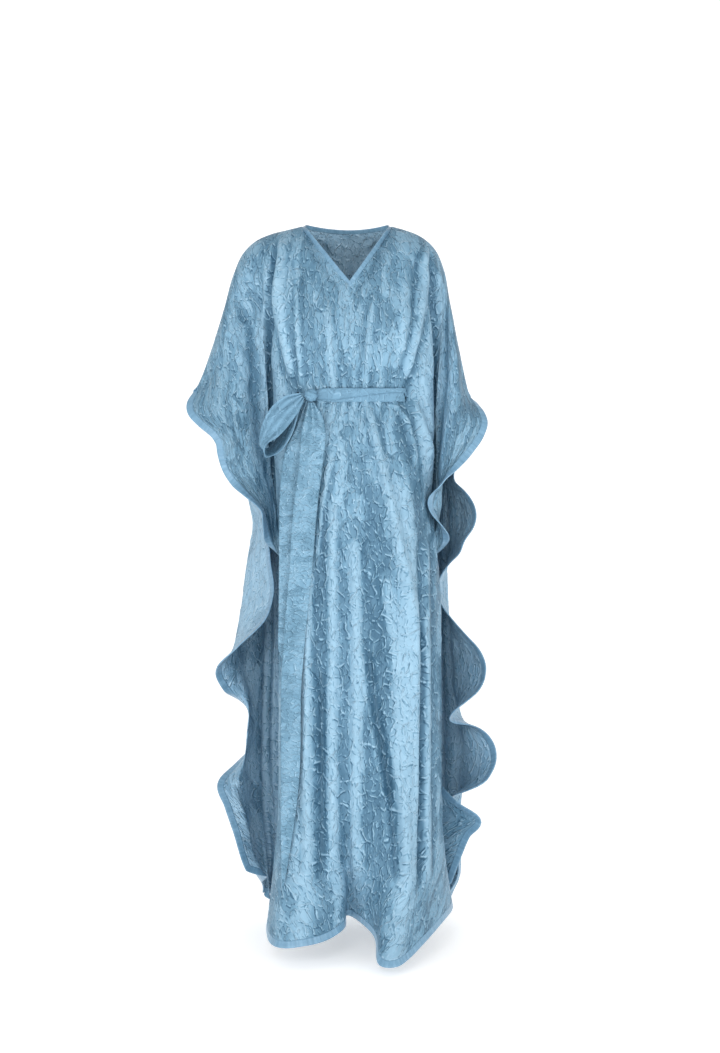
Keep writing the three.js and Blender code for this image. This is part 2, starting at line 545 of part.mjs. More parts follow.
// A closed wall round a grid of points: both faces and the four rims.
function wallOf({ points, normals }, thick) {
  const rows = points.length;
  const columns = points[0].length;
  const position = [];
  for (const side of [0.5, -0.5])
    points.forEach((row, j) =>
      row.forEach((p, i) => position.push(...p.clone().addScaledVector(normals[j][i], side * thick).toArray())),
    );
  const index = [];
  const at = (layer, j, i) => layer * rows * columns + j * columns + i;
  const quad = (a, b, c, d) => index.push(a, b, c, a, c, d);
  for (let j = 0; j < rows - 1; j++)
    for (let i = 0; i < columns - 1; i++) {
      quad(at(0, j, i), at(0, j + 1, i), at(0, j + 1, i + 1), at(0, j, i + 1));
      quad(at(1, j, i), at(1, j, i + 1), at(1, j + 1, i + 1), at(1, j + 1, i));
    }
  const rim = [];
  for (let i = 0; i < columns; i++) rim.push([0, i]);
  for (let j = 1; j < rows; j++) rim.push([j, columns - 1]);
  for (let i = columns - 2; i >= 0; i--) rim.push([rows - 1, i]);
  for (let j = rows - 2; j > 0; j--) rim.push([j, 0]);
  rim.forEach(([j, i], k) => {
    const [nj, ni] = rim[(k + 1) % rim.length];
    quad(at(0, j, i), at(0, nj, ni), at(1, nj, ni), at(1, j, i));
  });
  return facingOut(position, index);
}

// A geometry whose faces point out, whichever way its triangles were listed.
function facingOut(position, index) {
  let volume = 0;
  for (let k = 0; k < index.length; k += 3) {
    const [a, b, c] = [0, 1, 2].map((n) => new THREE.Vector3().fromArray(position, 3 * index[k + n]));
    volume += a.dot(b.cross(c));
  }
  if (volume < 0)
    for (let k = 0; k < index.length; k += 3) [index[k + 1], index[k + 2]] = [index[k + 2], index[k + 1]];
  const geometry = new THREE.BufferGeometry();
  geometry.setAttribute("position", new THREE.Float32BufferAttribute(position, 3));
  geometry.setIndex(index);
  return geometry;
}

// A bar with a four-cornered section along a path: at each step a point, the direction of its width
// and the direction of its thickness.
function barAlong(steps, { width, thick, from = 0, closed = false }) {
  const position = [];
  for (const step of steps) {
    const w = step.width ?? width;
    for (const [across, up] of [[from, 0.5], [from + w, 0.5], [from + w, -0.5], [from, -0.5]])
      position.push(...step.point.clone().addScaledVector(step.across, across).addScaledVector(step.up, up * thick).toArray());
  }
  const index = [];
  const count = steps.length;
  for (let k = 0; k < (closed ? count : count - 1); k++)
    for (let n = 0; n < 4; n++) {
      const [a, b] = [4 * k + n, 4 * k + ((n + 1) % 4)];
      const [c, d] = [4 * ((k + 1) % count) + ((n + 1) % 4), 4 * ((k + 1) % count) + n];
      index.push(a, b, c, a, c, d);
    }
  const end = 4 * (count - 1);
  if (!closed) index.push(0, 2, 1, 0, 3, 2, end, end + 1, end + 2, end, end + 2, end + 3);
  return facingOut(position, index);
}

// Steps along a panel's two sides and hem, for the binding that runs just outside its edge.
function edgeSteps({ points, normals, facing }) {
  const rows = points.length - 1;
  const columns = points[0].length - 1;
  const track = [];
  for (let j = 0; j <= rows; j++) track.push([j, 0]);
  for (let i = 1; i <= columns; i++) track.push([rows, i]);
  for (let j = rows - 1; j >= 0; j--) track.push([j, columns]);
  const at = (k) => points[track[k][0]][track[k][1]];
  const steps = track.map(([j, i], k) => {
    const normal = normals[j][i];
    const across = new THREE.Vector3();
    for (const [a, b] of [[k - 1, k], [k, k + 1]]) {
      if (a < 0 || b >= track.length) continue;
      const side = at(b).clone().sub(at(a)).cross(normal).normalize();
      across.addScaledVector(side, facing);
    }
    across.addScaledVector(normal, -across.dot(normal));
    if (j === 0) across.setY(0);
    return { point: at(k), across: across.normalize(), up: normal, width: BINDING.width };
  });
  return gathered(steps);
}

// A tape drawn in where its edge turns inwards, so that its outer side never runs back on itself.
function gathered(steps) {
  const outer = ({ point, across, width }) => point.clone().addScaledVector(across, width);
  for (let pass = 0; pass < 14; pass++)
    for (let k = 1; k < steps.length; k++) {
      const [a, b] = [steps[k - 1], steps[k]];
      const run = b.point.clone().sub(a.point);
      if (outer(b).sub(outer(a)).dot(run) > 0.2 * run.lengthSq()) continue;
      for (const step of [a, b]) step.width = Math.max(4, step.width * 0.92);
    }
  return steps;
}

// Steps round the neckline: the V from the left neck point to the right one, then the back neck.
function neckSteps(front, back) {
  const inside = (cut) => Math.abs(cut) < NECK_CUT - 1e-6;
  const onFront = front.cuts.map((cut, i) => ({ cut, i })).filter(({ cut }) => Math.abs(cut) < NECK_CUT + 1e-6);
  const onBack = back.cuts.map((cut, i) => ({ cut, i })).filter(({ cut }) => inside(cut)).reverse();
  const step = (panel, i, reach) => {
    const up = panel.normals[0][i];
    const along = panel.points[0][i + 1].clone().sub(panel.points[0][i - 1]).normalize();
    const across = along.clone().cross(up).normalize();
    if (across.dot(panel.points[1][i].clone().sub(panel.points[0][i])) > 0) across.negate();
    return { point: panel.points[0][i].clone(), across, up, width: reach };
  };
  const steps = onFront.map(({ cut, i }) => {
    const spot = step(front, i, NECK_BINDING.width);
    if (Math.abs(cut) < 1e-6) {
      spot.across = new THREE.Vector3(0, 0, 1).addScaledVector(spot.up, -spot.up.z).normalize();
      spot.width = NECK_BINDING.width * NECK_MITRE;
    } else if (!inside(cut)) {
      spot.point.y = 0;
      spot.across = new THREE.Vector3(-Math.sign(cut), 0, 0).addScaledVector(spot.up, spot.up.x * Math.sign(cut));
      spot.across.normalize();
    }
    return spot;
  });
  return [...steps, ...onBack.map(({ i }) => step(back, i, NECK_BINDING.width))];
}

// A point of the smooth front panel moved out by a distance, and the outward direction there.
function outOf(cut, down, off) {
  const at = (c, d) => basePoint(FRONT, c, d);
  const point = at(cut, down);
  const outward = at(cut + 0.01, down).sub(at(cut - 0.01, down)).cross(at(cut, down + 4).sub(at(cut, down - 4)));
  outward.multiplyScalar(-1).normalize();
  return { point: point.addScaledVector(outward, off), outward };
}

// The belt's path, level round the waist: over the front, in by one slit, round the wearer's back
// inside the dress, and out by the other slit.
const BELT_INSIDE = [
  { x: 112, fore: 66 },
  { x: 122, fore: 36 },
  { x: 130, fore: 2 },
  { x: 125, fore: -46 },
  { x: 98, fore: -86 },
  { x: 52, fore: -104 },
  { x: 0, fore: -108 },
];
function beltRing() {
  const ring = [];
  for (let k = -9; k <= 9; k++) {
    const { point } = outOf((k / 9) * BELT.slitCut, BELT.down, BELT.clear);
    ring.push(new THREE.Vector3(point.x, point.y, -BELT.down));
  }
  const [first, last] = [ring[0], ring[ring.length - 1]];
  const inside = (side) => BELT_INSIDE.map(({ x, fore }) => new THREE.Vector3(side * x, -fore, -BELT.down));
  ring.push(...inside(1), ...inside(-1).slice(0, -1).reverse());
  const slits = [
    { from: last, to: inside(1)[0] },
    { from: first, to: inside(-1)[0] },
  ];
  const steps = ring.map((point, k) => {
    const along = ring[(k + 1) % ring.length].clone().sub(ring[(k + ring.length - 1) % ring.length]);
    const up = new THREE.Vector3(along.y, -along.x, 0).normalize();
    return { point, across: new THREE.Vector3(0, 0, -1), up };
  });
  return { steps, slits };
}

// A ribbon's path through a few rows of a table, as evenly spaced steps.
function along(rows, count, pointOf) {
  const reach = rows.map((_, k) => k);
  const at = (key, s) => through(reach, column(rows, key), s);
  return Array.from({ length: count + 1 }, (_, k) => pointOf((key) => at(key, (k / count) * (rows.length - 1))));
}

// The bow loop in its own plane: along it from the knot, and out to the layer that faces forward.
const LOOP_AXES = { along: [-0.58, 0, -0.815], out: [-0.4, -0.86, 0.3] };
const BOW_LOOP = [
  { along: 12.6, out: 8, width: 17 },
  { along: 46, out: 27, width: 38 },
  { along: 84, out: 36, width: 47 },
  { along: 116, out: 33, width: 48 },
  { along: 131, out: 20, width: 48 },
  { along: 118, out: 8, width: 47 },
  { along: 86, out: 4, width: 42 },
  { along: 50, out: 6, width: 30 },
  { along: 14.6, out: 3.5, width: 14 },
];
function loopSteps(centre) {
  const u = new THREE.Vector3(...LOOP_AXES.along).normalize();
  const v = new THREE.Vector3(...LOOP_AXES.out);
  v.addScaledVector(u, -v.dot(u)).normalize();
  const w = v.clone().cross(u).normalize();
  if (w.x < 0) w.negate();
  const spots = along(BOW_LOOP, 26, (get) => ({ u: get("along"), v: get("out"), width: get("width") }));
  return spots.map((spot, k) => {
    const a = spots[Math.max(k - 1, 0)];
    const b = spots[Math.min(k + 1, spots.length - 1)];
    const up = u.clone().multiplyScalar(b.v - a.v).addScaledVector(v, a.u - b.u).normalize();
    const point = centre.clone().addScaledVector(u, spot.u).addScaledVector(v, spot.v);
    point.addScaledVector(w, -spot.width / 2);
    return { point, across: w, up, width: spot.width };
  });
}

// The two free ends hang over the skirt. Left and right are their edges; the last row is the cut end.
const LONG_TAIL = [
  { down: 365.7, left: -83, right: -72, off: 13 },
  { down: 392, left: -90, right: -55, off: 14 },
  { down: 430, left: -98, right: -48, off: 12 },
  { down: 500, left: -103, right: -55, off: 11 },
  { down: 580, left: -113, right: -65, off: 11 },
  { down: 700, left: -121, right: -75, off: 11 },
  { down: 820, left: -131, right: -87, off: 11 },
  { down: 940, left: -138, right: -97, off: 11 },
  { down: 1070, left: -139, right: -99, off: 8 },
  { down: 1150, left: -139, right: -104, off: 7 },
  { down: 1240, left: -139, right: -116, off: 6 },
  { down: 1335, left: -136, right: -132, off: 6 },
];
const SHORT_TAIL = [
  { down: 362.5, left: -87, right: -79, off: 8.5 },
  { down: 386, left: -96, right: -80, off: 5 },
  { down: 412, left: -106, right: -76, off: 5 },
  { down: 470, left: -132, right: -88, off: 5 },
  { down: 560, left: -141, right: -94, off: 5 },
  { down: 680, left: -142, right: -95, off: 5 },
  { down: 800, left: -143, right: -96, off: 5 },
  { down: 862, left: -143, right: -97, off: 5 },
  { down: 905, left: -122, right: -97, off: 5 },
];
// How far forward the front panel comes at a height, between two places across it.
function foremost(down, left, right) {
  let most = 0;
  for (let cut = -0.46; cut <= -0.06; cut += 0.01) {
    const { point, outward } = outOf(cut, down, 0);
    point.addScaledVector(outward, foldHeight(FRONT_FOLDS, cut, down));
    if (point.x > left - 6 && point.x < right + 6) most = Math.max(most, -point.y);
  }
  return most;
}
function tailSteps(rows, count) {
  const spots = along(rows, count, (get) => {
    const [down, left, right] = [get("down"), get("left"), get("right")];
    const middle = (left + right) / 2;
    const [nearLeft, nearRight] = [foremost(down, left, middle), foremost(down, middle, right)];
    return { down, left, right, foreLeft: nearLeft + get("off"), foreRight: nearRight + get("off") };
  });
  return spots.map((spot, k) => {
    const a = new THREE.Vector3(spot.left, -spot.foreLeft, -spot.down);
    const b = new THREE.Vector3(spot.right, -spot.foreRight, -spot.down);
    const before = spots[Math.max(k - 1, 0)];
    const after = spots[Math.min(k + 1, spots.length - 1)];
    const fall = new THREE.Vector3(0, before.foreRight - after.foreRight, before.down - after.down);
    const across = b.clone().sub(a);
    const width = across.length();
    across.normalize();
    return { point: a, across, up: across.clone().cross(fall).negate().normalize(), width };
  });
}

function boxAlong(from, to, [wide, deep, tall]) {
  const turn = (Math.atan2(to.y - from.y, to.x - from.x) * 180) / Math.PI - 90;
  const middle = from.clone().lerp(to, 0.28);
  return wasm.Manifold.cube([wide, deep, tall], true).rotate([0, 0, turn]).translate(middle.toArray());
}
function cutFrom(geometry, tools) {
  const mesh = new wasm.Mesh({
    numProp: 3,
    vertProperties: geometry.attributes.position.array,
    triVerts: new Uint32Array(geometry.index.array),
  });
  let solid = new wasm.Manifold(mesh);
  for (const tool of tools) solid = solid.subtract(tool);
  const cut = solid.getMesh();
  return facingOut(Array.from(cut.vertProperties), Array.from(cut.triVerts));
}

const front = drape(FRONT);
const back = drape(BACK);
const belt = beltRing();
const slits = belt.slits.map(({ from, to }) => boxAlong(from, to, BELT.slit));
const knotAt = outOf(KNOT.cut, KNOT.down, BELT.clear + BELT.thick / 2 + KNOT.size[1] / 2 + 0.6).point;

const kaftan = new THREE.Group();
const ORGANZA = { color: 0x86adca, roughness: 0.42, metalness: 0 };
const SATIN = { color: 0x7aa5c4, roughness: 0.38, metalness: 0 };
function piece(name, geometry, finish) {
  const mesh = new THREE.Mesh(geometry, new THREE.MeshStandardMaterial({ ...finish, side: THREE.DoubleSide }));
  mesh.name = name;
  kaftan.add(mesh);
  return mesh;
}
piece("front_panel", cutFrom(wallOf(front, WALL), slits), ORGANZA);
piece("back_panel", wallOf(back, WALL), ORGANZA);
piece("front_edge_binding", barAlong(edgeSteps(front), { ...BINDING, from: BINDING.gap }), SATIN);
piece("back_edge_binding", barAlong(edgeSteps(back), { ...BINDING, from: BINDING.gap }), SATIN);
piece("neck_binding", barAlong(neckSteps(front, back), { ...NECK_BINDING, from: NECK_BINDING.gap, closed: true }), SATIN);
piece("belt_band", barAlong(belt.steps, { ...BELT, from: -BELT.width / 2, closed: true }), ORGANZA);
const knot = mergeVertices(new THREE.SphereGeometry(0.5, 16, 10).deleteAttribute("normal").deleteAttribute("uv"));
knot.scale(...KNOT.size).rotateY(-0.3).translate(...knotAt.toArray());
piece("belt_knot", knot, ORGANZA);
piece("bow_loop", barAlong(loopSteps(knotAt), { ...SASH }), ORGANZA);
piece("long_tail", barAlong(tailSteps(LONG_TAIL, 30), { ...SASH }), ORGANZA);
piece("short_tail", barAlong(tailSteps(SHORT_TAIL, 18), { ...SASH }), ORGANZA);

export default kaftan;
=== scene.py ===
import math
import bpy
import bmesh
import numpy as np
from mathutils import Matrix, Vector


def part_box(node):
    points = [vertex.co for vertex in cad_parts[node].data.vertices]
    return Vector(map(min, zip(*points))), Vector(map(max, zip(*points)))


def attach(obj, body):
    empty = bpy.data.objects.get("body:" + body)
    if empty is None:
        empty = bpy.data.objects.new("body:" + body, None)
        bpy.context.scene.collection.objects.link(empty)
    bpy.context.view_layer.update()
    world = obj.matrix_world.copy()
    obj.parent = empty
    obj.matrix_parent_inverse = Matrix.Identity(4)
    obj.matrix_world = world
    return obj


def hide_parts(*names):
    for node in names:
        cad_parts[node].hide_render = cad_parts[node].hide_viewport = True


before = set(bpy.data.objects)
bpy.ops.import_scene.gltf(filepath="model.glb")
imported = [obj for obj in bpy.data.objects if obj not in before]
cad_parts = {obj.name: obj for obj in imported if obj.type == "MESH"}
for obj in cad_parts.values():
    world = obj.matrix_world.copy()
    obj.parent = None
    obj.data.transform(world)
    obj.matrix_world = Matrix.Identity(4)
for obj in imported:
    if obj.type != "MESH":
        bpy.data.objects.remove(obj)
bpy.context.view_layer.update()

# Front panel. One wide, nearly square length of crushed satin organza, left open at both sides. It is
# sewn to the back panel along the shoulders and the top of the sleeves, hangs from there, and is drawn
# in at the waist by the belt, which goes through a slit at each side. Heights are "down" from the neck
# points and a thread's place across the panel is its "cut", 0 at the centre and 1 at the side edge.
# Sizes in the tables are millimetres, as on a pattern sheet; the meshes are made in metres.
CLOTH = 0.9
BINDING = {"width": 13.0, "thick": 3.0}
NECK_BINDING = {"width": 8.0, "thick": 2.6}
NECK_CUT = 0.19
V_DEPTH = 131.0
BELT = {"width": 28.0, "thick": 3.0, "down": 350.5, "clear": 5.4, "slit_cut": 0.262, "slit": (4.0, 7.0, 26.0)}
LEVELS = {"chest": 90, "bust": 240, "waist": 350, "hip": 560, "knee": 950, "hem": 1400}


def table(names, rows):
    return {name: [row[i] for row in rows] for i, name in enumerate(names.split())}


def smooth(x):
    x = np.clip(x, 0.0, 1.0)
    return x * x * (3 - 2 * x)


def mix(a, b, w):
    return a + (b - a) * w


def through(ats, values, at):
    """A smooth curve through values at ats, read at every number of at. A value may be an array like at."""
    at = np.asarray(at, float)
    held = np.clip(at, ats[0], ats[-1])
    values = np.stack([np.broadcast_to(np.asarray(v, float), at.shape) for v in values])
    span = np.diff(np.asarray(ats, float)).reshape(-1, *[1] * at.ndim)
    slope = np.diff(values, axis=0) / span
    between = (slope[:-1] * span[1:] + slope[1:] * span[:-1]) / (span[1:] + span[:-1])
    tangent = np.concatenate([slope[:1], between, slope[-1:]])
    i = np.clip(np.searchsorted(ats, held, side="right") - 1, 0, len(ats) - 2)
    pick = lambda values_at, k: np.take_along_axis(values_at, k[None], 0)[0]
    wide = np.asarray(ats, float)[i + 1] - np.asarray(ats, float)[i]
    s = (held - np.asarray(ats, float)[i]) / wide
    rise = wide * (s * (1 - s) ** 2 * pick(tangent, i) - s * s * (1 - s) * pick(tangent, i + 1))
    return mix(pick(values, i), pick(values, i + 1), smooth(s)) + rise


def read(rows, by, key, at):
    return through(rows[by], rows[key], at)


SEAM_LEFT = table("out down behind", [
    (101, 4, 0), (130, 11, 3), (163, 19, 6), (196, 34, 8), (220, 57, 9), (239, 97, 9), (261, 175, 6),
    (294, 278, 2), (308, 315, 0), (316, 332, 0),
])
SEAM_RIGHT = table("out down behind", [
    (88, 4, 0), (114, 11, 3), (148, 25, 6), (175, 49, 8), (193, 88, 9), (206, 154, 8), (222, 237, 5),
    (237, 309, 1), (244, 340, 0),
])
FRONT_SECTIONS = table("down centre slitL slitR slit sideL sideR side wingL wingR wing", [
    (0, 40, 134, 122, 36, 192, 170, 30, 238, 200, 26), (60, 74, 136, 128, 66, 194, 176, 36, 244, 202, 30),
    (120, 98, 136, 130, 92, 180, 177, 42, 248, 206, 36),
    (200, 122, 130, 128, 116, 164, 173, 42, 250, 214, 48),
    (270, 130, 121, 122, 116, 158, 171, 36, 248, 220, 62),
    (350, 118, 104, 111, 96, 155, 170, 27, 240, 218, 78),
    (420, 134, 111, 119, 112, 153, 170, 29, 226, 208, 86),
    (520, 148, 118, 130, 126, 149, 168, 38, 192, 188, 74),
    (580, 153, 122, 134, 132, 141, 169, 44, 168, 188, 62),
    (620, 156, 123, 136, 135, 139, 170, 51, 158, 180, 46),
    (650, 158, 124, 138, 138, 138, 172, 58, 150, 176, 34),
    (760, 163, 127, 142, 142, 143, 181, 72, 138, 171, 14),
    (900, 168, 129, 146, 146, 143, 184, 76, 128, 164, 0),
    (1050, 170, 130, 148, 148, 144, 186, 78, 126, 160, -12),
    (1140, 171, 131, 149, 149, 145, 187, 79, 124, 151, -34),
    (1200, 172, 131, 150, 150, 146, 187, 80, 122, 153, -42),
    (1430, 172, 136, 154, 150, 156, 190, 86, 132, 168, -36),
])
FRONT_EDGE_LEFT = table("down out fore", [
    (200, 296, 12), (334, 324, 5), (352, 331, 16), (366, 336, 28), (384, 333, 43), (404, 314, 58),
    (427, 286, 73), (444, 275, 75), (474, 270, 66), (507, 259, 62), (525, 245, 68), (558, 212, 86),
    (581, 190, 90), (606, 183, 80), (630, 179, 62), (655, 173, 38), (680, 161, 12), (710, 142, -6),
    (760, 118, -16), (950, 106, -36), (1140, 104, -62), (1430, 116, -66),
])
FRONT_EDGE_RIGHT = table("down out fore", [
    (200, 226, 12), (340, 251, 6.5), (362, 265, 18), (384, 278, 35), (404, 283, 48), (427, 276, 60),
    (460, 253, 75), (498, 220, 88), (529, 198, 92), (550, 184, 90), (581, 180, 84), (600, 189, 74),
    (620, 198, 60), (640, 204, 42), (660, 202, 22), (680, 190, 5), (700, 175, -6), (750, 154, -14),
    (800, 146, -18), (950, 140, -30), (1072, 148, -40), (1096, 152, -66), (1122, 161, -76),
    (1145, 172, -64), (1164, 182, -44), (1184, 198, -16), (1208, 230, 10), (1234, 272, 20), (1272, 252, -6),
    (1314, 236, -20), (1384, 212, -26),
])
FRONT_HEM = table("cut down aside fore", [
    (-1, 1392, 0, 0), (-0.7, 1402, 0, 0), (-0.5, 1430, -12, 25), (-0.42, 1440, -12, 58),
    (-0.3, 1450, -10, 76), (-0.18, 1450, -4, 70), (-0.09, 1438, 12, 36), (-0.04, 1424, 8, 2),
    (0, 1414, -8, -48), (0.045, 1420, -6, -34), (0.09, 1440, -2, 26), (0.135, 1470, -24, 88),
    (0.18, 1482, -36, 112), (0.25, 1472, -36, 100), (0.34, 1444, -18, 66), (0.42, 1424, 2, 34),
    (0.5, 1416, 22, -6), (0.7, 1396, 0, 0), (1, 1384, 0, 0),
])
FRONT_FOLDS = table("cut lean half chest bust waist hip knee hem", [
    (-0.62, 0, 0.055, 2, 6, 9, 1, 1, 0), (-0.5, 0, 0.04, 3, 8, 12, 1, 1, 0),
    (-0.355, 0, 0.042, 0, 7, 20, 2, 4, 0), (-0.25, 0, 0.036, 6, 9, 0, 8, 8, 2),
    (-0.17, 0, 0.036, 2, 3, 0, 8, 12, 6), (-0.09, 0, 0.034, 0, 4, 0, 4, 2, 0),
    (-0.042, 0, 0.034, 0, 2, 0, 7, 11, 4), (0.02, 0.06, 0.034, 0, 4, 0, 6, 9, 4),
    (0.085, 0.3, 0.034, 0, 3, 0, 10, 9, 0), (0.15, 0.1, 0.036, 2, 4, 0, 8, 12, 6),
    (0.225, 0, 0.034, 5, 9, 0, 9, 8, 4), (0.355, 0, 0.042, 0, 7, 20, 2, 4, 0),
    (0.5, 0, 0.04, 3, 8, 10, 1, 1, 0), (0.62, 0, 0.055, 2, 6, 8, 1, 1, 0),
])
for seam in (SEAM_LEFT, SEAM_RIGHT):
    length = np.concatenate([[0], np.cumsum(np.hypot(np.diff(seam["out"]), np.diff(seam["down"])))])
    seam["cut"] = list(NECK_CUT + (1 - NECK_CUT) * length / length[-1])


def top_of(panel, cut):
    """Where a column begins, on the seam or the neckline: x, fore, down, and its reach to the section."""
    at = np.abs(cut)
    share = np.clip(at / NECK_CUT, 0, 1)
    side = lambda key: np.where(cut < 0, read(SEAM_LEFT, "cut", key, at), read(SEAM_RIGHT, "cut", key, at))
    inner = at < NECK_CUT - 1e-6
    neck_out = np.where(cut < 0, SEAM_LEFT["out"][0], SEAM_RIGHT["out"][0]) * share
    x = np.sign(cut) * np.where(inner, neck_out, side("out"))
    fore = np.where(inner, 0, -side("behind"))
    down = np.where(inner, panel["neckline"](share, 4.0), side("down"))
    return x, fore, down, np.where(inner, np.sqrt(1 - share ** 2), 0)


def hem_of(panel, cut):
    return read(panel["hem"], "cut", "down", cut) - BINDING["width"] + 2


def edge(rows, down):
    return read(rows, "down", "out", down) - BINDING["width"] + 2, read(rows, "down", "fore", down)


def front_section(down):
    get = lambda key: read(FRONT_SECTIONS, "down", key, down)
    left, right = edge(FRONT_EDGE_LEFT, down), edge(FRONT_EDGE_RIGHT, down)
    outs = [-left[0], -get("wingL"), -get("sideL"), -get("slitL"), 0,
            get("slitR"), get("sideR"), get("wingR"), right[0]]
    fores = [left[1], get("wing"), get("side"), get("slit"), get("centre"),
             get("slit"), get("side"), get("wing"), right[1]]
    return [-1, -0.7, -0.42, -0.27, 0, 0.27, 0.42, 0.7, 1], outs, fores


def base_points(panel, cut, down):
    """The smooth panel before its folds, as points in millimetres at arrays of cut and down."""
    x, fore, top, reach = top_of(panel, cut)
    cuts, outs, fores = panel["section"](down)
    drop = down - top
    tip = smooth((np.abs(cut) - 0.7) / 0.3)
    inward = smooth(drop / mix(120, 20, tip))
    forward = np.maximum(reach, np.sqrt(1 - (1 - np.clip(drop / mix(48, 20, tip), 0, 1)) ** 2))
    wave = np.clip((down - hem_of(panel, cut) + 330) / 330, 0, 1) ** 2
    out = mix(x, through(cuts, outs, cut), inward) + wave * read(panel["hem"], "cut", "aside", cut)
    ahead = mix(fore, through(cuts, fores, cut), forward) + wave * read(panel["hem"], "cut", "fore", cut)
    return np.stack([out, -ahead, -down], -1)


def fold_height(folds, cut, down):
    height = np.zeros_like(down)
    for k in range(len(folds["cut"])):
        drift = folds["lean"][k] * np.clip((down - LEVELS["waist"]) / 450, 0, 1) * 0.45
        off = (cut - folds["cut"][k] - drift) / folds["half"][k]
        tall = through(list(LEVELS.values()), [folds[name][k] for name in LEVELS], down)
        height += tall * np.exp(-off * off)
    return height


def normals_of(points, facing):
    """Outward directions of a grid of points, evened a little along its columns."""
    down = points[1:, :-1] + points[1:, 1:] - points[:-1, :-1] - points[:-1, 1:]
    over = points[:-1, 1:] + points[1:, 1:] - points[:-1, :-1] - points[1:, :-1]
    quads = np.cross(over, down) * -facing
    quads /= np.maximum(np.linalg.norm(quads, axis=-1, keepdims=True), 1e-9)
    total = np.zeros_like(points)
    for a in (slice(0, -1), slice(1, None)):
        for b in (slice(0, -1), slice(1, None)):
            total[a, b] += quads
    total /= np.maximum(np.linalg.norm(total, axis=-1, keepdims=True), 1e-9)
    for _ in range(3):
        total[1:-1] = total[1:-1] * 2 + total[:-2] * 0.5 + total[2:] * 0.5
        total /= np.maximum(np.linalg.norm(total, axis=-1, keepdims=True), 1e-9)
    return total


def chance(i, j, seed):
    """A fixed number from 0 to 1 for each whole i, j."""
    value = np.sin(i * 127.1 + j * 311.7 + seed * 74.7) * 43758.5453
    return value - np.floor(value)


def crush(across, along, cell, tall, seed):
    """The cloth's crushed facets: a tilt for each facet, and a sharp crease where two of them meet."""
    p, q = across / cell, along / (cell * tall)
    i, j = np.floor(p), np.floor(q)
    first = np.full(p.shape, 9.0)
    second, tilt, own, other = first.copy(), p * 0, p * 0, p * 0
    for a in (-1, 0, 1):
        for b in (-1, 0, 1):
            px = p - (i + a) - chance(i + a, j + b, seed)
            qx = q - (j + b) - chance(i + a, j + b, seed + 5)
            name = chance(i + a, j + b, seed + 9)
            lean = px * (name - 0.5) * 2 + qx * (chance(i + a, j + b, seed + 3) - 0.5)
            far = np.hypot(px, qx)
            near = far < first
            second = np.where(near, first, np.minimum(second, far))
            other = np.where(near, own, np.where(far <= second, name, other))
            first, tilt, own = np.where(near, far, first), np.where(near, lean, tilt), np.where(near, name, own)
    gap = second - first
    crease = np.exp(-((gap / 0.22) ** 2)) * np.where((own + other) % 0.37 < 0.2, 1.0, -0.7)
    return tilt * smooth(gap / 0.35), crease


def run_of(points, axis):
    """How far each point lies from the first one, along a grid's rows or columns."""
    steps = np.linalg.norm(np.diff(points, axis=axis), axis=-1)
    return np.concatenate([np.zeros_like(steps.take([0], axis)), np.cumsum(steps, axis)], axis)


def eased(values, axis, count):
    """The mean of each number and its neighbours along a grid's rows or columns."""
    pad = [(count // 2, count // 2) if k == axis else (0, 0) for k in range(values.ndim)]
    total = np.cumsum(np.pad(values, pad, mode="edge"), axis)
    first = total.take([count - 1], axis)
    size = total.shape[axis]
    rest = total.take(range(count, size), axis) - total.take(range(size - count), axis)
    return np.concatenate([first, rest], axis) / count


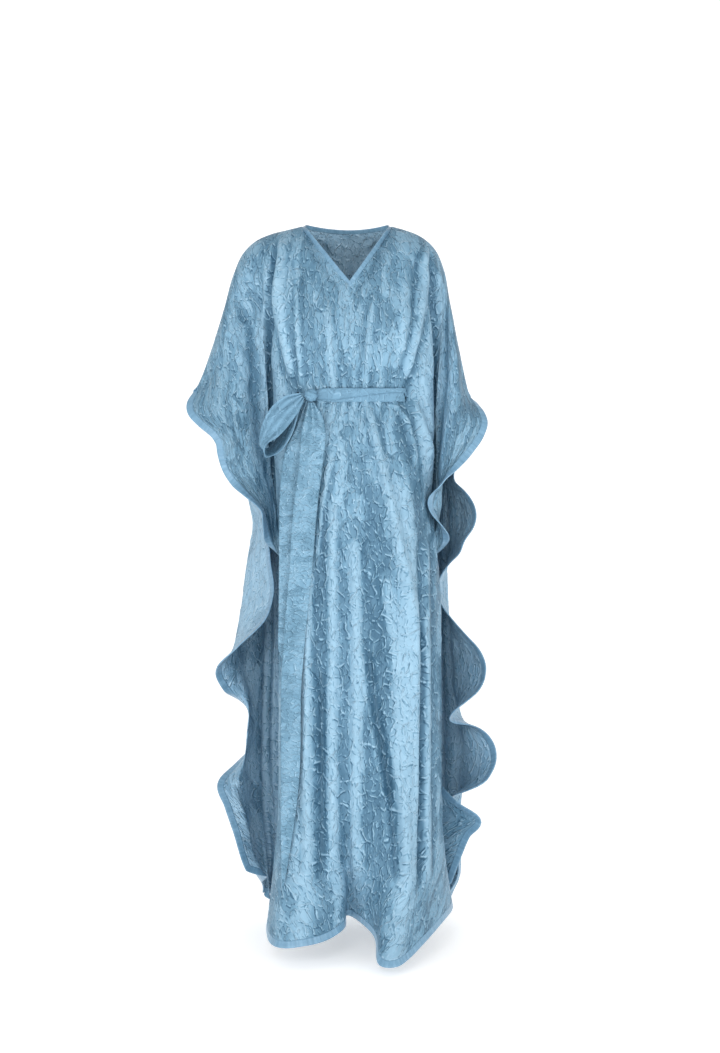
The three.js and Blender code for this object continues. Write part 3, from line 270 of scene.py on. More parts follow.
def drape(panel, rows=240, columns=200):
    cut = np.broadcast_to(np.linspace(-1, 1, columns + 1), (rows + 1, columns + 1)).copy()
    share = np.linspace(0, 1, rows + 1)[:, None] ** 1.3
    top = top_of(panel, cut[0])[2]
    down = mix(top, hem_of(panel, cut[0]), share)
    smooth_points = base_points(panel, cut, down)
    outward = normals_of(smooth_points, panel["facing"])
    fade = smooth((down - top) / 70) * smooth((1 - np.abs(cut)) / 0.12)
    relief = fold_height(panel["folds"], cut, down) * fade
    for crease in panel["creases"]:
        at = through(crease["down"], crease["x"], down)
        ends = smooth((down - crease["down"][0]) / 40 + 0.3) * smooth((crease["down"][-1] - down) / 60 + 0.3)
        within = (down > crease["down"][0] - 12) & (down < crease["down"][-1] + 18)
        ends *= (np.abs(cut) < panel["creased_to"]) * within
        off = (smooth_points[..., 0] - at) / (0.85 * crease["half"])
        sides = np.exp(-((np.abs(off) - 1.8) ** 2) * 1.6)
        relief += 1.4 * crease["height"] * ends * (np.exp(-off * off) - 0.55 * sides)
    drawn = panel["drawn"] * np.exp(-((down - BELT["down"]) / 52) ** 2) * smooth((0.33 - np.abs(cut)) / 0.06)
    relief += drawn * np.sin(cut * 96 + 1.5 * np.sin(down / 31) + 2 * np.sin(cut * 13))
    across = run_of(smooth_points, 1)
    across = eased(across - across[:, columns // 2][:, None], 0, 21)
    fall = -smooth_points[..., 2]
    extra = (top + run_of(smooth_points, 0) - fall)[:, columns // 4:-columns // 4]
    along = fall + extra.mean(axis=1)[:, None]
    wobble = 9 * np.sin(along / 37 + np.sin(across / 31) * 2) + 5 * np.sin(along / 17 + across / 23)
    wide_tilt, wide_crease = crush(across + wobble, along + wobble * 0.6, 52, 1.7, panel["seed"])
    tilt, crease = crush(across + wobble * 0.7, along - wobble, 27, 1.5, panel["seed"] + 40)
    crumple = 1.5 * wide_tilt + 0.8 * wide_crease + 0.6 * tilt + 0.4 * crease
    crumple *= smooth((down - top) / 18 + 0.15) * smooth((1 - np.abs(cut)) / 0.03)
    crumple *= smooth((hem_of(panel, cut) - down) / 14)
    calm = 1 - 0.75 * np.exp(-(((down - BELT["down"]) / 20) ** 2)) * (np.abs(cut) < 0.45)
    points = smooth_points + outward * (relief + crumple * calm)[..., None]
    normals = normals_of(points, panel["facing"])
    seam = np.abs(cut[0]) > NECK_CUT - 1e-6
    points[0, seam, 1] -= panel["facing"] * (CLOTH / 2 + 0.05)
    normals[0, seam, 1] = 0
    normals[0] /= np.linalg.norm(normals[0], axis=-1, keepdims=True)
    # The relief attribute is a painted tone: fold ridges and raised facets are painted lighter and fold valleys
    # painted darker, as painted highlight and painted shade.
    height = np.clip((relief - eased(relief, 1, 29)) * 0.1 + crumple * 0.1, -0.7, 0.7)
    return {"points": points, "normals": normals, "across": across, "along": along, "height": height,
            "facing": panel["facing"]}


def lay(name, points, across, along, height=None, thick=None, closed=False, ring=False):
    """A grid of cloth, laid on a grid of points in millimetres. Closed joins its long edges, ring its ends."""
    rows, columns = points.shape[0] - 1, points.shape[1] - 1
    bpy.ops.object.select_all(action="DESELECT")
    bpy.ops.mesh.primitive_grid_add(x_subdivisions=columns, y_subdivisions=rows, size=1, location=(0, 0, 0))
    piece = bpy.context.object
    piece.name = piece.data.name = name
    mesh = piece.data
    flat = np.empty(len(mesh.vertices) * 3)
    mesh.vertices.foreach_get("co", flat)
    flat = flat.reshape(-1, 3)
    i = np.rint((flat[:, 0] + 0.5) * columns).astype(int)
    j = np.rint((0.5 - flat[:, 1]) * rows).astype(int)
    mesh.vertices.foreach_set("co", (points[j, i] / 1000).ravel())
    corner = np.empty(len(mesh.loops), int)
    mesh.loops.foreach_get("vertex_index", corner)
    flat_at = np.stack([across[j, i], -along[j, i]], -1) / 1000
    mesh.uv_layers.active.data.foreach_set("uv", flat_at[corner].ravel())
    # The relief attribute carries the tone that the cloth finishes paint as highlight and shade.
    relief = mesh.attributes.new("relief", "FLOAT", "POINT")
    relief.data.foreach_set("value", np.zeros(len(i)) if height is None else height[j, i])
    mesh.update()
    if closed:
        bpy.ops.object.mode_set(mode="EDIT")
        bpy.ops.mesh.select_all(action="SELECT")
        bpy.ops.mesh.remove_doubles(threshold=0.00001)
        bpy.ops.mesh.select_all(action="DESELECT")
        bpy.ops.mesh.select_non_manifold()
        if not ring:
            bpy.ops.mesh.fill()
        bpy.ops.mesh.select_all(action="SELECT")
        bpy.ops.mesh.normals_make_consistent(inside=False)
        bpy.ops.object.mode_set(mode="OBJECT")
    if thick:
        wall(piece, thick)
    bpy.ops.object.shade_smooth()
    return piece


def wall(piece, thick):
    bpy.context.view_layer.objects.active = piece
    shell = piece.modifiers.new("wall", "SOLIDIFY")
    shell.thickness = thick / 1000
    shell.offset = 0
    bpy.ops.object.modifier_apply(modifier=shell.name)


def colour(text):
    """A colour as the material takes it, from its usual six figures."""
    parts = [int(text[k:k + 2], 16) / 255 for k in (0, 2, 4)]
    return [c / 12.92 if c < 0.04045 else ((c + 0.055) / 1.055) ** 2.4 for c in parts] + [1.0]


def node(tree, kind, **settings):
    made = tree.nodes.new(kind)
    for key, value in settings.items():
        if key in made.inputs:
            made.inputs[key].default_value = value
        else:
            setattr(made, key, value)
    return made


def reckon(tree, operation, *values, clamp=False):
    made = tree.nodes.new("ShaderNodeMath")
    made.operation = operation
    made.use_clamp = clamp
    for socket, value in zip(made.inputs, values):
        if isinstance(value, (int, float)):
            socket.default_value = value
        else:
            tree.links.new(value, socket)
    return made.outputs[0]


def organza(name, deep, middle, light, crushed=1.0, tall=0.62, patchy=0.4):
    """Crushed satin organza: flat facets and short sharp creases in its bump, with painted sheen, painted highlights
    and painted shade in its colour.
    """
    made = bpy.data.materials.new(name)
    made.use_nodes = True
    tree = made.node_tree
    link = tree.links.new
    shader = tree.nodes["Principled BSDF"]
    uv = node(tree, "ShaderNodeUVMap").outputs["UV"]
    stir = node(tree, "ShaderNodeTexNoise", noise_dimensions="2D", Scale=24.0, Detail=2.5, Roughness=0.5)
    link(uv, stir.inputs["Vector"])
    shift = node(tree, "ShaderNodeVectorMath", operation="MULTIPLY_ADD")
    link(stir.outputs["Color"], shift.inputs[0])
    shift.inputs[1].default_value = (0.02, 0.02, 0)
    link(uv, shift.inputs[2])
    squeeze = node(tree, "ShaderNodeMapping")
    squeeze.inputs["Scale"].default_value = (1.0, tall, 1.0)
    link(shift.outputs[0], squeeze.inputs["Vector"])

    def moved(x, y):
        at = node(tree, "ShaderNodeVectorMath", operation="ADD")
        at.inputs[1].default_value = (x, y, 0)
        link(squeeze.outputs[0], at.inputs[0])
        return at.outputs[0]

    def step(value, low, high, start=0.0, end=1.0):
        made_step = node(tree, "ShaderNodeMapRange", interpolation_type="SMOOTHSTEP")
        for key, number in (("From Min", low), ("From Max", high), ("To Min", start), ("To Max", end)):
            made_step.inputs[key].default_value = number
        link(value, made_step.inputs["Value"])
        return made_step.outputs[0]

    def facets(scale, slope):
        """Each facet's own tilt as a height, and a random number from 0 to 1 for each facet, used as its painted
        sheen.
        """
        cells = node(tree, "ShaderNodeTexVoronoi", voronoi_dimensions="2D", Scale=scale)
        link(squeeze.outputs[0], cells.inputs["Vector"])
        off = node(tree, "ShaderNodeVectorMath", operation="SUBTRACT")
        link(squeeze.outputs[0], off.inputs[0])
        link(cells.outputs["Position"], off.inputs[1])
        lean = node(tree, "ShaderNodeVectorMath", operation="SUBTRACT")
        link(cells.outputs["Color"], lean.inputs[0])
        lean.inputs[1].default_value = (0.5, 0.5, 0.5)
        tilt = node(tree, "ShaderNodeVectorMath", operation="DOT_PRODUCT")
        link(off.outputs[0], tilt.inputs[0])
        link(lean.outputs[0], tilt.inputs[1])
        split = node(tree, "ShaderNodeSeparateColor")
        link(cells.outputs["Color"], split.inputs[0])
        return reckon(tree, "MULTIPLY", tilt.outputs["Value"], slope), split.outputs[0]

    def creases(scale, width, seed, side):
        """Short broken lines, and the same lines as a painted highlight on one side and a painted shade on the other.
        """
        lines = []
        for offset in (-side, side):
            cells = node(tree, "ShaderNodeTexVoronoi", voronoi_dimensions="2D", feature="DISTANCE_TO_EDGE",
                         Scale=scale)
            link(moved(seed + offset, seed * 0.7 + offset * 0.8), cells.inputs["Vector"])
            lines.append(step(cells.outputs["Distance"], 0.0, width, 1.0, 0.0))
        broken = node(tree, "ShaderNodeTexNoise", noise_dimensions="2D", Scale=scale * 1.9, Detail=1.0)
        link(moved(seed, seed), broken.inputs["Vector"])
        gate = step(broken.outputs["Fac"], 0.47, 0.56)
        ridge = reckon(tree, "MULTIPLY", reckon(tree, "ADD", lines[0], lines[1]), gate)
        return ridge, reckon(tree, "MULTIPLY", reckon(tree, "SUBTRACT", lines[0], lines[1]), gate)

    big, big_painted_sheen = facets(40.0, 0.28)
    small, small_painted_sheen = facets(92.0, 0.24)
    coarse, coarse_lit = creases(56.0, 0.11, 3.1, 0.001)
    fine, fine_lit = creases(92.0, 0.13, 7.7, 0.0008)
    rib = node(tree, "ShaderNodeTexNoise", noise_dimensions="2D", Scale=1.0, Detail=2.0)
    ribs = node(tree, "ShaderNodeMapping")
    ribs.inputs["Scale"].default_value = (900.0, 70.0, 1.0)
    link(uv, ribs.inputs["Vector"])
    link(ribs.outputs[0], rib.inputs["Vector"])
    height = reckon(tree, "ADD", big, small)
    height = reckon(tree, "MULTIPLY_ADD", coarse, 0.0011, height)
    height = reckon(tree, "MULTIPLY_ADD", fine, 0.0005, height)
    height = reckon(tree, "MULTIPLY", height, crushed)
    height = reckon(tree, "MULTIPLY_ADD", rib.outputs["Fac"], 0.00005, height)
    bump = node(tree, "ShaderNodeBump", Strength=1.0, Distance=1.0)
    link(height, bump.inputs["Height"])
    link(bump.outputs[0], shader.inputs["Normal"])

    # The base colour holds painted light and shade: the relief attribute paints ridges lighter and valleys darker,
    # the facets give painted sheen patches, and the creases painted highlights with a painted shaded side.
    relief = node(tree, "ShaderNodeAttribute", attribute_name="relief")
    painted_sheen = reckon(tree, "MULTIPLY_ADD", relief.outputs["Fac"], 1.3, big_painted_sheen)
    tone = step(painted_sheen, 0.2, 0.8, 0.4 - patchy / 2, 0.4 + patchy / 2)
    tone = reckon(tree, "MULTIPLY_ADD", relief.outputs["Fac"], 0.28, tone)
    tone = reckon(tree, "MULTIPLY_ADD", small_painted_sheen, 0.16 * crushed, tone)
    tone = reckon(tree, "MULTIPLY_ADD", coarse, 0.2 * crushed, tone)
    tone = reckon(tree, "MULTIPLY_ADD", coarse_lit, 0.62 * crushed, tone)
    tone = reckon(tree, "MULTIPLY_ADD", fine_lit, 0.52 * crushed, tone, clamp=True)
    ramp = node(tree, "ShaderNodeValToRGB")
    ramp.color_ramp.elements[0].color = colour(deep)
    ramp.color_ramp.elements[1].color = colour(light)
    ramp.color_ramp.elements.new(0.5).color = colour(middle)
    link(tone, ramp.inputs["Fac"])
    link(ramp.outputs["Color"], shader.inputs["Base Color"])
    shader.inputs["Roughness"].default_value = 0.5
    shader.inputs["Metallic"].default_value = 0.08
    shader.inputs["Specular IOR Level"].default_value = 0.28
    return made


CLOTH_FINISH = organza("crushed_organza", "3A6079", "6C94AD", "92B5CB", tall=0.55, patchy=0.34)
FRONT = {
    "facing": 1, "seed": 3, "creased_to": 0.5, "drawn": 3.0,
    "neckline": lambda share, top: mix(V_DEPTH, top, share ** 1.06),
    "section": front_section, "hem": FRONT_HEM, "folds": FRONT_FOLDS,
    "creases": [
        {"down": [30, 120, 237, 334], "x": [-136, -143, -130, -108], "half": 9, "height": 7},
        {"down": [60, 154, 300, 450, 600], "x": [-152, -158, -163, -163, -158], "half": 9, "height": -8},
        {"down": [90, 200, 400, 569], "x": [167, 170, 174, 176], "half": 9, "height": -8},
        {"down": [76, 200, 336], "x": [-107, -104, -97], "half": 6, "height": 4},
        {"down": [51, 237, 334], "x": [155, 131, 104], "half": 9, "height": 7},
        {"down": [120, 140, 165], "x": [-6, -6, -7], "half": 5, "height": 3},
        {"down": [150, 240, 330], "x": [48, 40, 30], "half": 7, "height": 3},
        {"down": [160, 250, 330], "x": [-46, -40, -34], "half": 8, "height": 3},
        {"down": [367, 461, 544, 646, 761], "x": [35, 58, 77, 96, 119], "half": 8, "height": 6},
        {"down": [365, 398, 427, 465, 498], "x": [89, 112, 121, 129, 133], "half": 6, "height": 5},
        {"down": [362, 390, 425, 444, 506], "x": [124, 133, 141, 148, 156], "half": 6, "height": 5},
        {"down": [461, 569, 694], "x": [-35, -54, -67], "half": 6, "height": 4},
        {"down": [640, 862, 1100, 1327], "x": [8, 12, 12, 10], "half": 14, "height": 7},
        {"down": [700, 862, 1100, 1327], "x": [70, 88, 100, 109], "half": 18, "height": 8},
        {"down": [640, 900, 1327], "x": [152, 154, 156], "half": 9, "height": 6},
        {"down": [700, 988, 1327], "x": [-80, -84, -84], "half": 9, "height": 6},
        {"down": [560, 800, 1300], "x": [-34, -36, -34], "half": 10, "height": 5},
        {"down": [862, 988, 1199, 1327], "x": [38, 54, 90, 97], "half": 10, "height": -10},
        {"down": [900, 988, 1200, 1327], "x": [-57, -57, -57, -57], "half": 9, "height": -8},
        {"down": [800, 862, 1100, 1327], "x": [138, 140, 141, 141], "half": 6, "height": -7},
    ],
}
front = drape(FRONT)


def outward_of(cut, down, off=0.0):
    """Points of the smooth front panel moved out by a distance, and the outward directions there."""
    cut, down = np.broadcast_arrays(np.asarray(cut, float), np.asarray(down, float))
    at = lambda c, d: base_points(FRONT, cut + c, down + d)
    out = -np.cross(at(0.01, 0) - at(-0.01, 0), at(0, 4) - at(0, -4))
    out /= np.linalg.norm(out, axis=-1, keepdims=True)
    return at(0, 0) + out * off, out


waist = outward_of(np.linspace(-1, 1, 73) * BELT["slit_cut"], BELT["down"], BELT["clear"])[0]
waist[:, 2] = -BELT["down"]
BELT_INSIDE = [(112, 66), (122, 36), (130, 2), (125, -46), (98, -86), (52, -104), (0, -108)]
front_cloth = lay("front_cloth", front["points"], front["across"], front["along"], front["height"])
parts = bmesh.new()
parts.from_mesh(front_cloth.data)
slit_faces = []
for side, end in ((-1, waist[0]), (1, waist[-1])):
    inner = np.array([side * BELT_INSIDE[0][0], -BELT_INSIDE[0][1], -BELT["down"]])
    way = (inner - end) / np.linalg.norm(inner - end)
    middle = end + (inner - end) * 0.28
    wide, deep, tall = BELT["slit"]
    tall *= 0.5 if side < 0 else 1
    for face in parts.faces:
        off = np.array(face.calc_center_median()) * 1000 - middle
        forward = off @ way
        aside = off[0] * way[1] - off[1] * way[0]
        if abs(off[2]) < tall / 2 and abs(forward) < deep / 2 and abs(aside) < wide / 2:
            slit_faces.append(face)
bmesh.ops.delete(parts, geom=slit_faces, context="FACES")
parts.to_mesh(front_cloth.data)
parts.free()
wall(front_cloth, CLOTH)
front_cloth.data.materials.append(CLOTH_FINISH)
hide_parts("front_panel")
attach(front_cloth, "root")

# Back panel. The same cloth, a little longer in its fall. It drops straight from the shoulder blades,
# loose of the belt, and its wide bound side edges curl forward and back in the waves seen past the
# front panel. It carries soft upright folds that deepen towards the hem.
BACK_SECTIONS = table("down centre bladeL bladeR blade wingL wingR wing", [
    (0, -66, 160, 140, -48, 226, 188, -44), (60, -90, 158, 146, -76, 238, 198, -50),
    (130, -112, 156, 148, -100, 240, 204, -56), (220, -124, 156, 150, -114, 240, 210, -68),
    (350, -128, 154, 152, -122, 230, 208, -92), (520, -140, 148, 150, -134, 204, 200, -120),
    (700, -152, 144, 150, -146, 188, 192, -128), (950, -166, 144, 154, -158, 190, 200, -132),
    (1200, -180, 148, 160, -170, 194, 204, -140), (1430, -196, 150, 164, -184, 184, 192, -154),
])
BACK_EDGE_LEFT = table("down out fore", [
    (200, 296, -12), (334, 324, -5), (362, 325, -22), (400, 304, -46), (450, 276, -66), (500, 262, -75),
    (545, 250, -78), (566, 228, -66), (585, 208, -52), (640, 190, -20), (700, 183, 0), (768, 177, 24),
    (811, 190, 34), (871, 245, 26), (915, 280, -8), (930, 283, -26), (980, 260, -58), (1012, 237, -100),
    (1060, 210, -128), (1098, 218, -128), (1139, 250, -100), (1173, 280, -60), (1216, 265, -34),
    (1272, 244, -12), (1320, 230, -2), (1352, 218, -8), (1430, 176, -50),
])
BACK_CURL_LEFT = table("down out fore", [
    (200, 262, -30), (336, 288, -50), (450, 262, -96), (545, 238, -108), (625, 211, -88), (694, 226, -74),
    (752, 234, -68), (829, 246, -62), (877, 254, -58), (930, 250, -60), (1012, 226, -62), (1060, 229, -66),
    (1098, 233, -68), (1173, 244, -66), (1272, 236, -66), (1315, 250, -90), (1360, 242, -108),
    (1430, 200, -120),
])
BACK_EDGE_RIGHT = table("down out fore", [
    (200, 226, -12), (340, 251, -6.5), (372, 262, -24), (400, 257, -44), (440, 240, -60), (503, 228, -66),
    (537, 230, -58), (557, 248, -44), (583, 263, -30), (601, 267, -18), (627, 262, -2), (652, 246, 12),
    (674, 238, 2), (696, 222, -18), (732, 202, -38), (787, 204, -44), (828, 229, -38), (850, 246, -32),
    (888, 276, -22), (929, 287, 0), (968, 270, 24), (988, 246, 38), (1006, 226, 36), (1024, 224, 4),
    (1044, 262, -34), (1077, 298, -30), (1109, 309, -12), (1139, 300, 8), (1158, 284, 22), (1172, 258, 18),
    (1186, 238, -16), (1204, 233, -44), (1265, 242, -56), (1307, 246, -62), (1377, 252, -58),
    (1430, 226, -52),
])
BACK_CURL_RIGHT = table("down out fore", [
    (200, 214, -28), (346, 236, -44), (450, 222, -88), (537, 218, -102), (600, 226, -94), (664, 224, -88),
    (732, 212, -90), (787, 214, -92), (850, 226, -84), (930, 238, -74), (988, 236, -66), (1014, 242, -72),
    (1109, 262, -62), (1186, 250, -72), (1228, 246, -84), (1300, 240, -108), (1377, 234, -114),
    (1430, 210, -118),
])
BACK_HEM = table("cut down aside fore", [
    (-1, 1352, 0, 0), (-0.93, 1368, 34, 20), (-0.86, 1388, 26, 26), (-0.78, 1408, 14, -8),
    (-0.7, 1430, 10, -12), (-0.6, 1446, 8, -6), (-0.48, 1448, 0, -46), (-0.36, 1442, 0, 8),
    (-0.24, 1448, 0, -54), (-0.12, 1440, 0, 2), (0, 1446, 0, -50), (0.12, 1440, 0, 4), (0.24, 1448, 0, -56),
    (0.36, 1440, 0, 6), (0.48, 1442, 0, -44), (0.6, 1432, -2, -14), (0.72, 1420, 0, -16),
    (0.84, 1414, 0, 10), (0.93, 1416, 0, 10), (1, 1422, -14, 0),
])
BACK_FOLDS = table("cut lean half chest bust waist hip knee hem", [
    (-0.72, 0, 0.05, 1, 5, 7, 8, 7, 4), (-0.52, 0, 0.05, 3, 7, 9, 12, 14, 8),
    (-0.38, 0, 0.045, 4, 7, 9, 11, 14, 8), (-0.24, 0, 0.045, 3, 6, 8, 12, 17, 8),
    (-0.12, 0, 0.035, 1, 3, 5, 7, 9, 3), (0.01, 0, 0.045, 2, 4, 6, 11, 16, 8),
    (0.13, 0, 0.035, 1, 4, 6, 7, 8, 3), (0.25, 0, 0.045, 4, 6, 8, 12, 16, 8),
    (0.39, 0, 0.045, 4, 7, 9, 10, 12, 7), (0.53, 0, 0.05, 3, 6, 9, 12, 14, 7),
    (0.72, 0, 0.05, 1, 5, 7, 8, 7, 4),
])


def back_section(down):
    get = lambda key: read(BACK_SECTIONS, "down", key, down)
    left, right = edge(BACK_EDGE_LEFT, down), edge(BACK_EDGE_RIGHT, down)
    curl_left, curl_right = edge(BACK_CURL_LEFT, down), edge(BACK_CURL_RIGHT, down)
    outs = [-left[0], -curl_left[0], -get("wingL"), -get("bladeL"), 0,
            get("bladeR"), get("wingR"), curl_right[0], right[0]]
    fores = [left[1], curl_left[1], get("wing"), get("blade"), get("centre"),
             get("blade"), get("wing"), curl_right[1], right[1]]
    return [-1, -0.82, -0.6, -0.3, 0, 0.3, 0.6, 0.82, 1], outs, fores


BACK = {
    "facing": -1, "seed": 17, "creased_to": 0.6, "drawn": 0.0,
    "neckline": lambda share, top: top + 9 * (1 - share ** 2),
    "section": back_section, "hem": BACK_HEM, "folds": BACK_FOLDS,
    "creases": [
        {"down": [60, 300, 520, 800], "x": [-118, -124, -118, -112], "half": 10, "height": 5},
        {"down": [90, 360, 700], "x": [-60, -52, -48], "half": 9, "height": 4},
        {"down": [50, 260, 480], "x": [8, 12, 4], "half": 8, "height": 3},
        {"down": [70, 320, 640, 900], "x": [66, 72, 80, 84], "half": 9, "height": 5},
        {"down": [60, 300, 560], "x": [126, 120, 122], "half": 10, "height": 5},
        {"down": [560, 900, 1360], "x": [-88, -92, -96], "half": 11, "height": 6},
        {"down": [640, 1000, 1370], "x": [-10, -6, -12], "half": 12, "height": 6},
        {"down": [700, 1050, 1360], "x": [44, 50, 52], "half": 9, "height": 5},
        {"down": [600, 950, 1350], "x": [112, 122, 128], "half": 11, "height": 6},
    ],
}
back = drape(BACK)
# The back panel gets a lighter copy of the cloth's colours and a raised relief tone: painted light on its inner
# faces, which lie in shade behind the front panel.
PATTERN_SHIFT, PAINTED_LIGHT_LIFT = 1300, 0.3
back_cloth = lay("back_cloth", back["points"], back["across"] + PATTERN_SHIFT, back["along"],
                 back["height"] + PAINTED_LIGHT_LIFT, CLOTH)
back_cloth.data.materials.append(organza("back_organza_painted_lighter", "527990", "7FA5BF", "A2C3D8", tall=0.55, patchy=0.34))
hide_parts("back_panel")
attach(back_cloth, "root")

# Edge bindings. A bias strip of plain satin is folded over the side edges and the hem of each panel
# and sewn through near its inner edge. It is firmer than the organza, so the edges stand in waves.
BINDING_SHAPE = [(-1.6, 0.62), (0.6, 0.86), (2.2, 0.74), (5, 1.12), (9, 1.32), (11.6, 1.4), (12.7, 0.9), (13, 0),
                 (12.7, -0.9), (11.6, -1.4), (9, -1.32), (5, -1.12), (2.2, -0.74), (0.6, -0.86), (-1.6, -0.62)]


def satin(name, deep, middle, light, rib):
    """Smooth satin tape with a little pucker across it."""
    made = bpy.data.materials.new(name)
    made.use_nodes = True
    tree = made.node_tree
    link = tree.links.new
    shader = tree.nodes["Principled BSDF"]
    uv = node(tree, "ShaderNodeUVMap").outputs["UV"]
    pucker_at = node(tree, "ShaderNodeMapping")
    pucker_at.inputs["Scale"].default_value = (30.0, rib, 1.0)
    link(uv, pucker_at.inputs["Vector"])
    pucker = node(tree, "ShaderNodeTexNoise", noise_dimensions="2D", Scale=1.0, Detail=3.0, Roughness=0.55)
    link(pucker_at.outputs[0], pucker.inputs["Vector"])
    weave_at = node(tree, "ShaderNodeMapping")
    weave_at.inputs["Scale"].default_value = (1500.0, 1500.0, 1.0)
    link(uv, weave_at.inputs["Vector"])
    weave = node(tree, "ShaderNodeTexNoise", noise_dimensions="2D", Scale=1.0, Detail=1.0)
    link(weave_at.outputs[0], weave.inputs["Vector"])
    height = reckon(tree, "MULTIPLY", pucker.outputs["Fac"], 0.0011)
    height = reckon(tree, "ADD", height, reckon(tree, "MULTIPLY", weave.outputs["Fac"], 0.00004))
    bump = node(tree, "ShaderNodeBump", Strength=1.0, Distance=1.0)
    link(height, bump.inputs["Height"])
    link(bump.outputs[0], shader.inputs["Normal"])
    ramp = node(tree, "ShaderNodeValToRGB")
    ramp.color_ramp.elements[0].color = colour(deep)
    ramp.color_ramp.elements[1].color = colour(light)
    ramp.color_ramp.elements.new(0.5).color = colour(middle)
    link(pucker.outputs["Fac"], ramp.inputs["Fac"])
    link(ramp.outputs["Color"], shader.inputs["Base Color"])
    shader.inputs["Roughness"].default_value = 0.36
    shader.inputs["Specular IOR Level"].default_value = 0.5
    shader.inputs["Sheen Weight"].default_value = 0.2
    shader.inputs["Sheen Tint"].default_value = (0.75, 0.88, 1.0, 1.0)
    return made


BINDING_FINISH = satin("binding_satin", "547B94", "6A92AD", "86ACC5", 160.0)


def bind(name, points, across, up, wide, closed=False):
    """A folded tape of the binding's section, swept along a row of points."""
    shape = np.array(BINDING_SHAPE + BINDING_SHAPE[:1])
    reach = shape[:, 0] * wide[:, None] / BINDING["width"]
    grid = points[:, None] + across[:, None] * reach[..., None] + up[:, None] * shape[None, :, 1, None]
    length = np.concatenate([[0], np.cumsum(np.linalg.norm(np.diff(points, axis=0), axis=-1))])
    if closed:
        grid, length = np.concatenate([grid, grid[:1]]), np.append(length, length[-1] + 5)
    around = np.broadcast_to(np.linspace(0, 30, len(shape)), grid.shape[:2])
    return lay(name, grid, around, np.broadcast_to(length[:, None], grid.shape[:2]), closed=True,
               ring=closed)


def edge_path(panel):
    """Down one side edge, along the hem and up the other: points, and directions off the cloth's edge."""
    points, normals = panel["points"], panel["normals"]
    rows, columns = points.shape[0] - 1, points.shape[1] - 1
    track = [(j, 0) for j in range(rows + 1)] + [(rows, i) for i in range(1, columns + 1)]
    track += [(j, columns) for j in range(rows - 1, -1, -1)]
    at = np.array([points[k] for k in track])
    up = np.array([normals[k] for k in track])
    for _ in range(4):
        up[1:-1] = up[1:-1] * 2 + up[:-2] + up[2:]
        up /= np.linalg.norm(up, axis=-1, keepdims=True)
    across = np.cross(np.gradient(at, axis=0), up) * panel["facing"]
    across /= np.linalg.norm(across, axis=-1, keepdims=True)
    for _ in range(5):
        across[1:-1] = across[1:-1] * 2 + across[:-2] + across[2:]
        across -= up * np.sum(across * up, -1, keepdims=True)
        across /= np.linalg.norm(across, axis=-1, keepdims=True)
    return at, across, up


for name, panel, replaced in (("front_binding", front, "front_edge_binding"),
                              ("back_binding", back, "back_edge_binding")):
    at, across, up = edge_path(panel)
    binding = bind(name, at, across, up, np.full(len(at), BINDING["width"]))
    binding.data.materials.append(BINDING_FINISH)
    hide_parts(replaced)
    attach(binding, "root")

# Neck binding. A narrower tape of the same satin goes round the V of the front, mitred at its point,
# and on round the low back neck, and finishes the two raw necklines in one.
columns = np.rint(np.linspace(-100, 100, 201)).astype(int)
front_in = [k for k, c in enumerate(columns) if abs(c) <= 19 and (c == 0 or abs(c) >= 2)]
back_in = [k for k, c in enumerate(columns) if abs(c) < 19][::-1]


def neck_steps(panel, picked):
    points, up = panel["points"][0], panel["normals"][0]
    before = np.array([points[k - 1] for k in picked])
    along = np.array([points[k + 1] for k in picked]) - before
    across = np.cross(along, up[picked])
    across /= np.linalg.norm(across, axis=-1, keepdims=True)
    inward = panel["points"][3][picked] - points[picked]
    across *= -np.sign(np.sum(across * inward, -1, keepdims=True))
    return points[picked].copy(), across, up[picked].copy()


f_at, f_across, f_up = neck_steps(front, front_in)
b_at, b_across, b_up = neck_steps(back, back_in)
tip = front_in.index(100)
f_across[tip] = np.array([0, 0, 1]) - f_up[tip] * f_up[tip][2]
f_across[tip] /= np.linalg.norm(f_across[tip])
for end, sign in ((0, 1), (-1, -1)):
    f_at[end, 1] = 0
    f_across[end] = np.array([sign, 0, 0]) - f_up[end] * f_up[end][0] * sign
    f_across[end] /= np.linalg.norm(f_across[end])
wide = np.full(len(f_at) + len(b_at), NECK_BINDING["width"])
wide[tip] *= 1.55
neck_up = np.concatenate([f_up, b_up])
neck_across = np.concatenate([f_across, b_across])
neck_tape = bind("neck_tape", np.concatenate([f_at, b_at]), neck_across, neck_up, wide, closed=True)
neck_tape.data.materials.append(BINDING_FINISH)
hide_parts("neck_binding")
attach(neck_tape, "root")

# Belt. A long sash of the crushed cloth, folded in half lengthwise over the stomach so that the front
# layer's edge runs up across it, led in through the two slits and round the back inside the kaftan.
SASH_FINISH = organza("sash_organza", "40667C", "6E96AF", "92B5CB", crushed=0.6, tall=1.7, patchy=0.22)
TIED_FINISH = organza("tied_organza", "37596E", "6C94AE", "93B7CE", crushed=0.3, tall=1.2, patchy=0.1)
inside = np.array([(x, -fore) for x, fore in BELT_INSIDE], float)
mirrored = inside[:-1][::-1] * (-1, 1)
ring = np.concatenate([waist[:, :2], inside, mirrored])
where = np.concatenate([np.linspace(0, 72, 73), 72 + 5.5 * np.arange(1, 14), [72 + 5.5 * 14]])
ring = np.concatenate([ring, ring[:1]])
steps = np.linspace(0, where[-1], 221)
path = np.stack([through(list(where), list(ring[:, k]), steps) for k in (0, 1)], -1)
turn = np.gradient(path, axis=0)
turn[0] = turn[-1] = path[1] - path[-2]
off = np.stack([turn[:, 1], -turn[:, 0]], -1)
off /= np.linalg.norm(off, axis=-1, keepdims=True)
reach = np.clip((path[:, 0] + 60) / 165, 0, 1)
fall = np.where(steps <= 72, mix(25, 9, smooth(reach)), 17)
fall[0] = fall[-1]
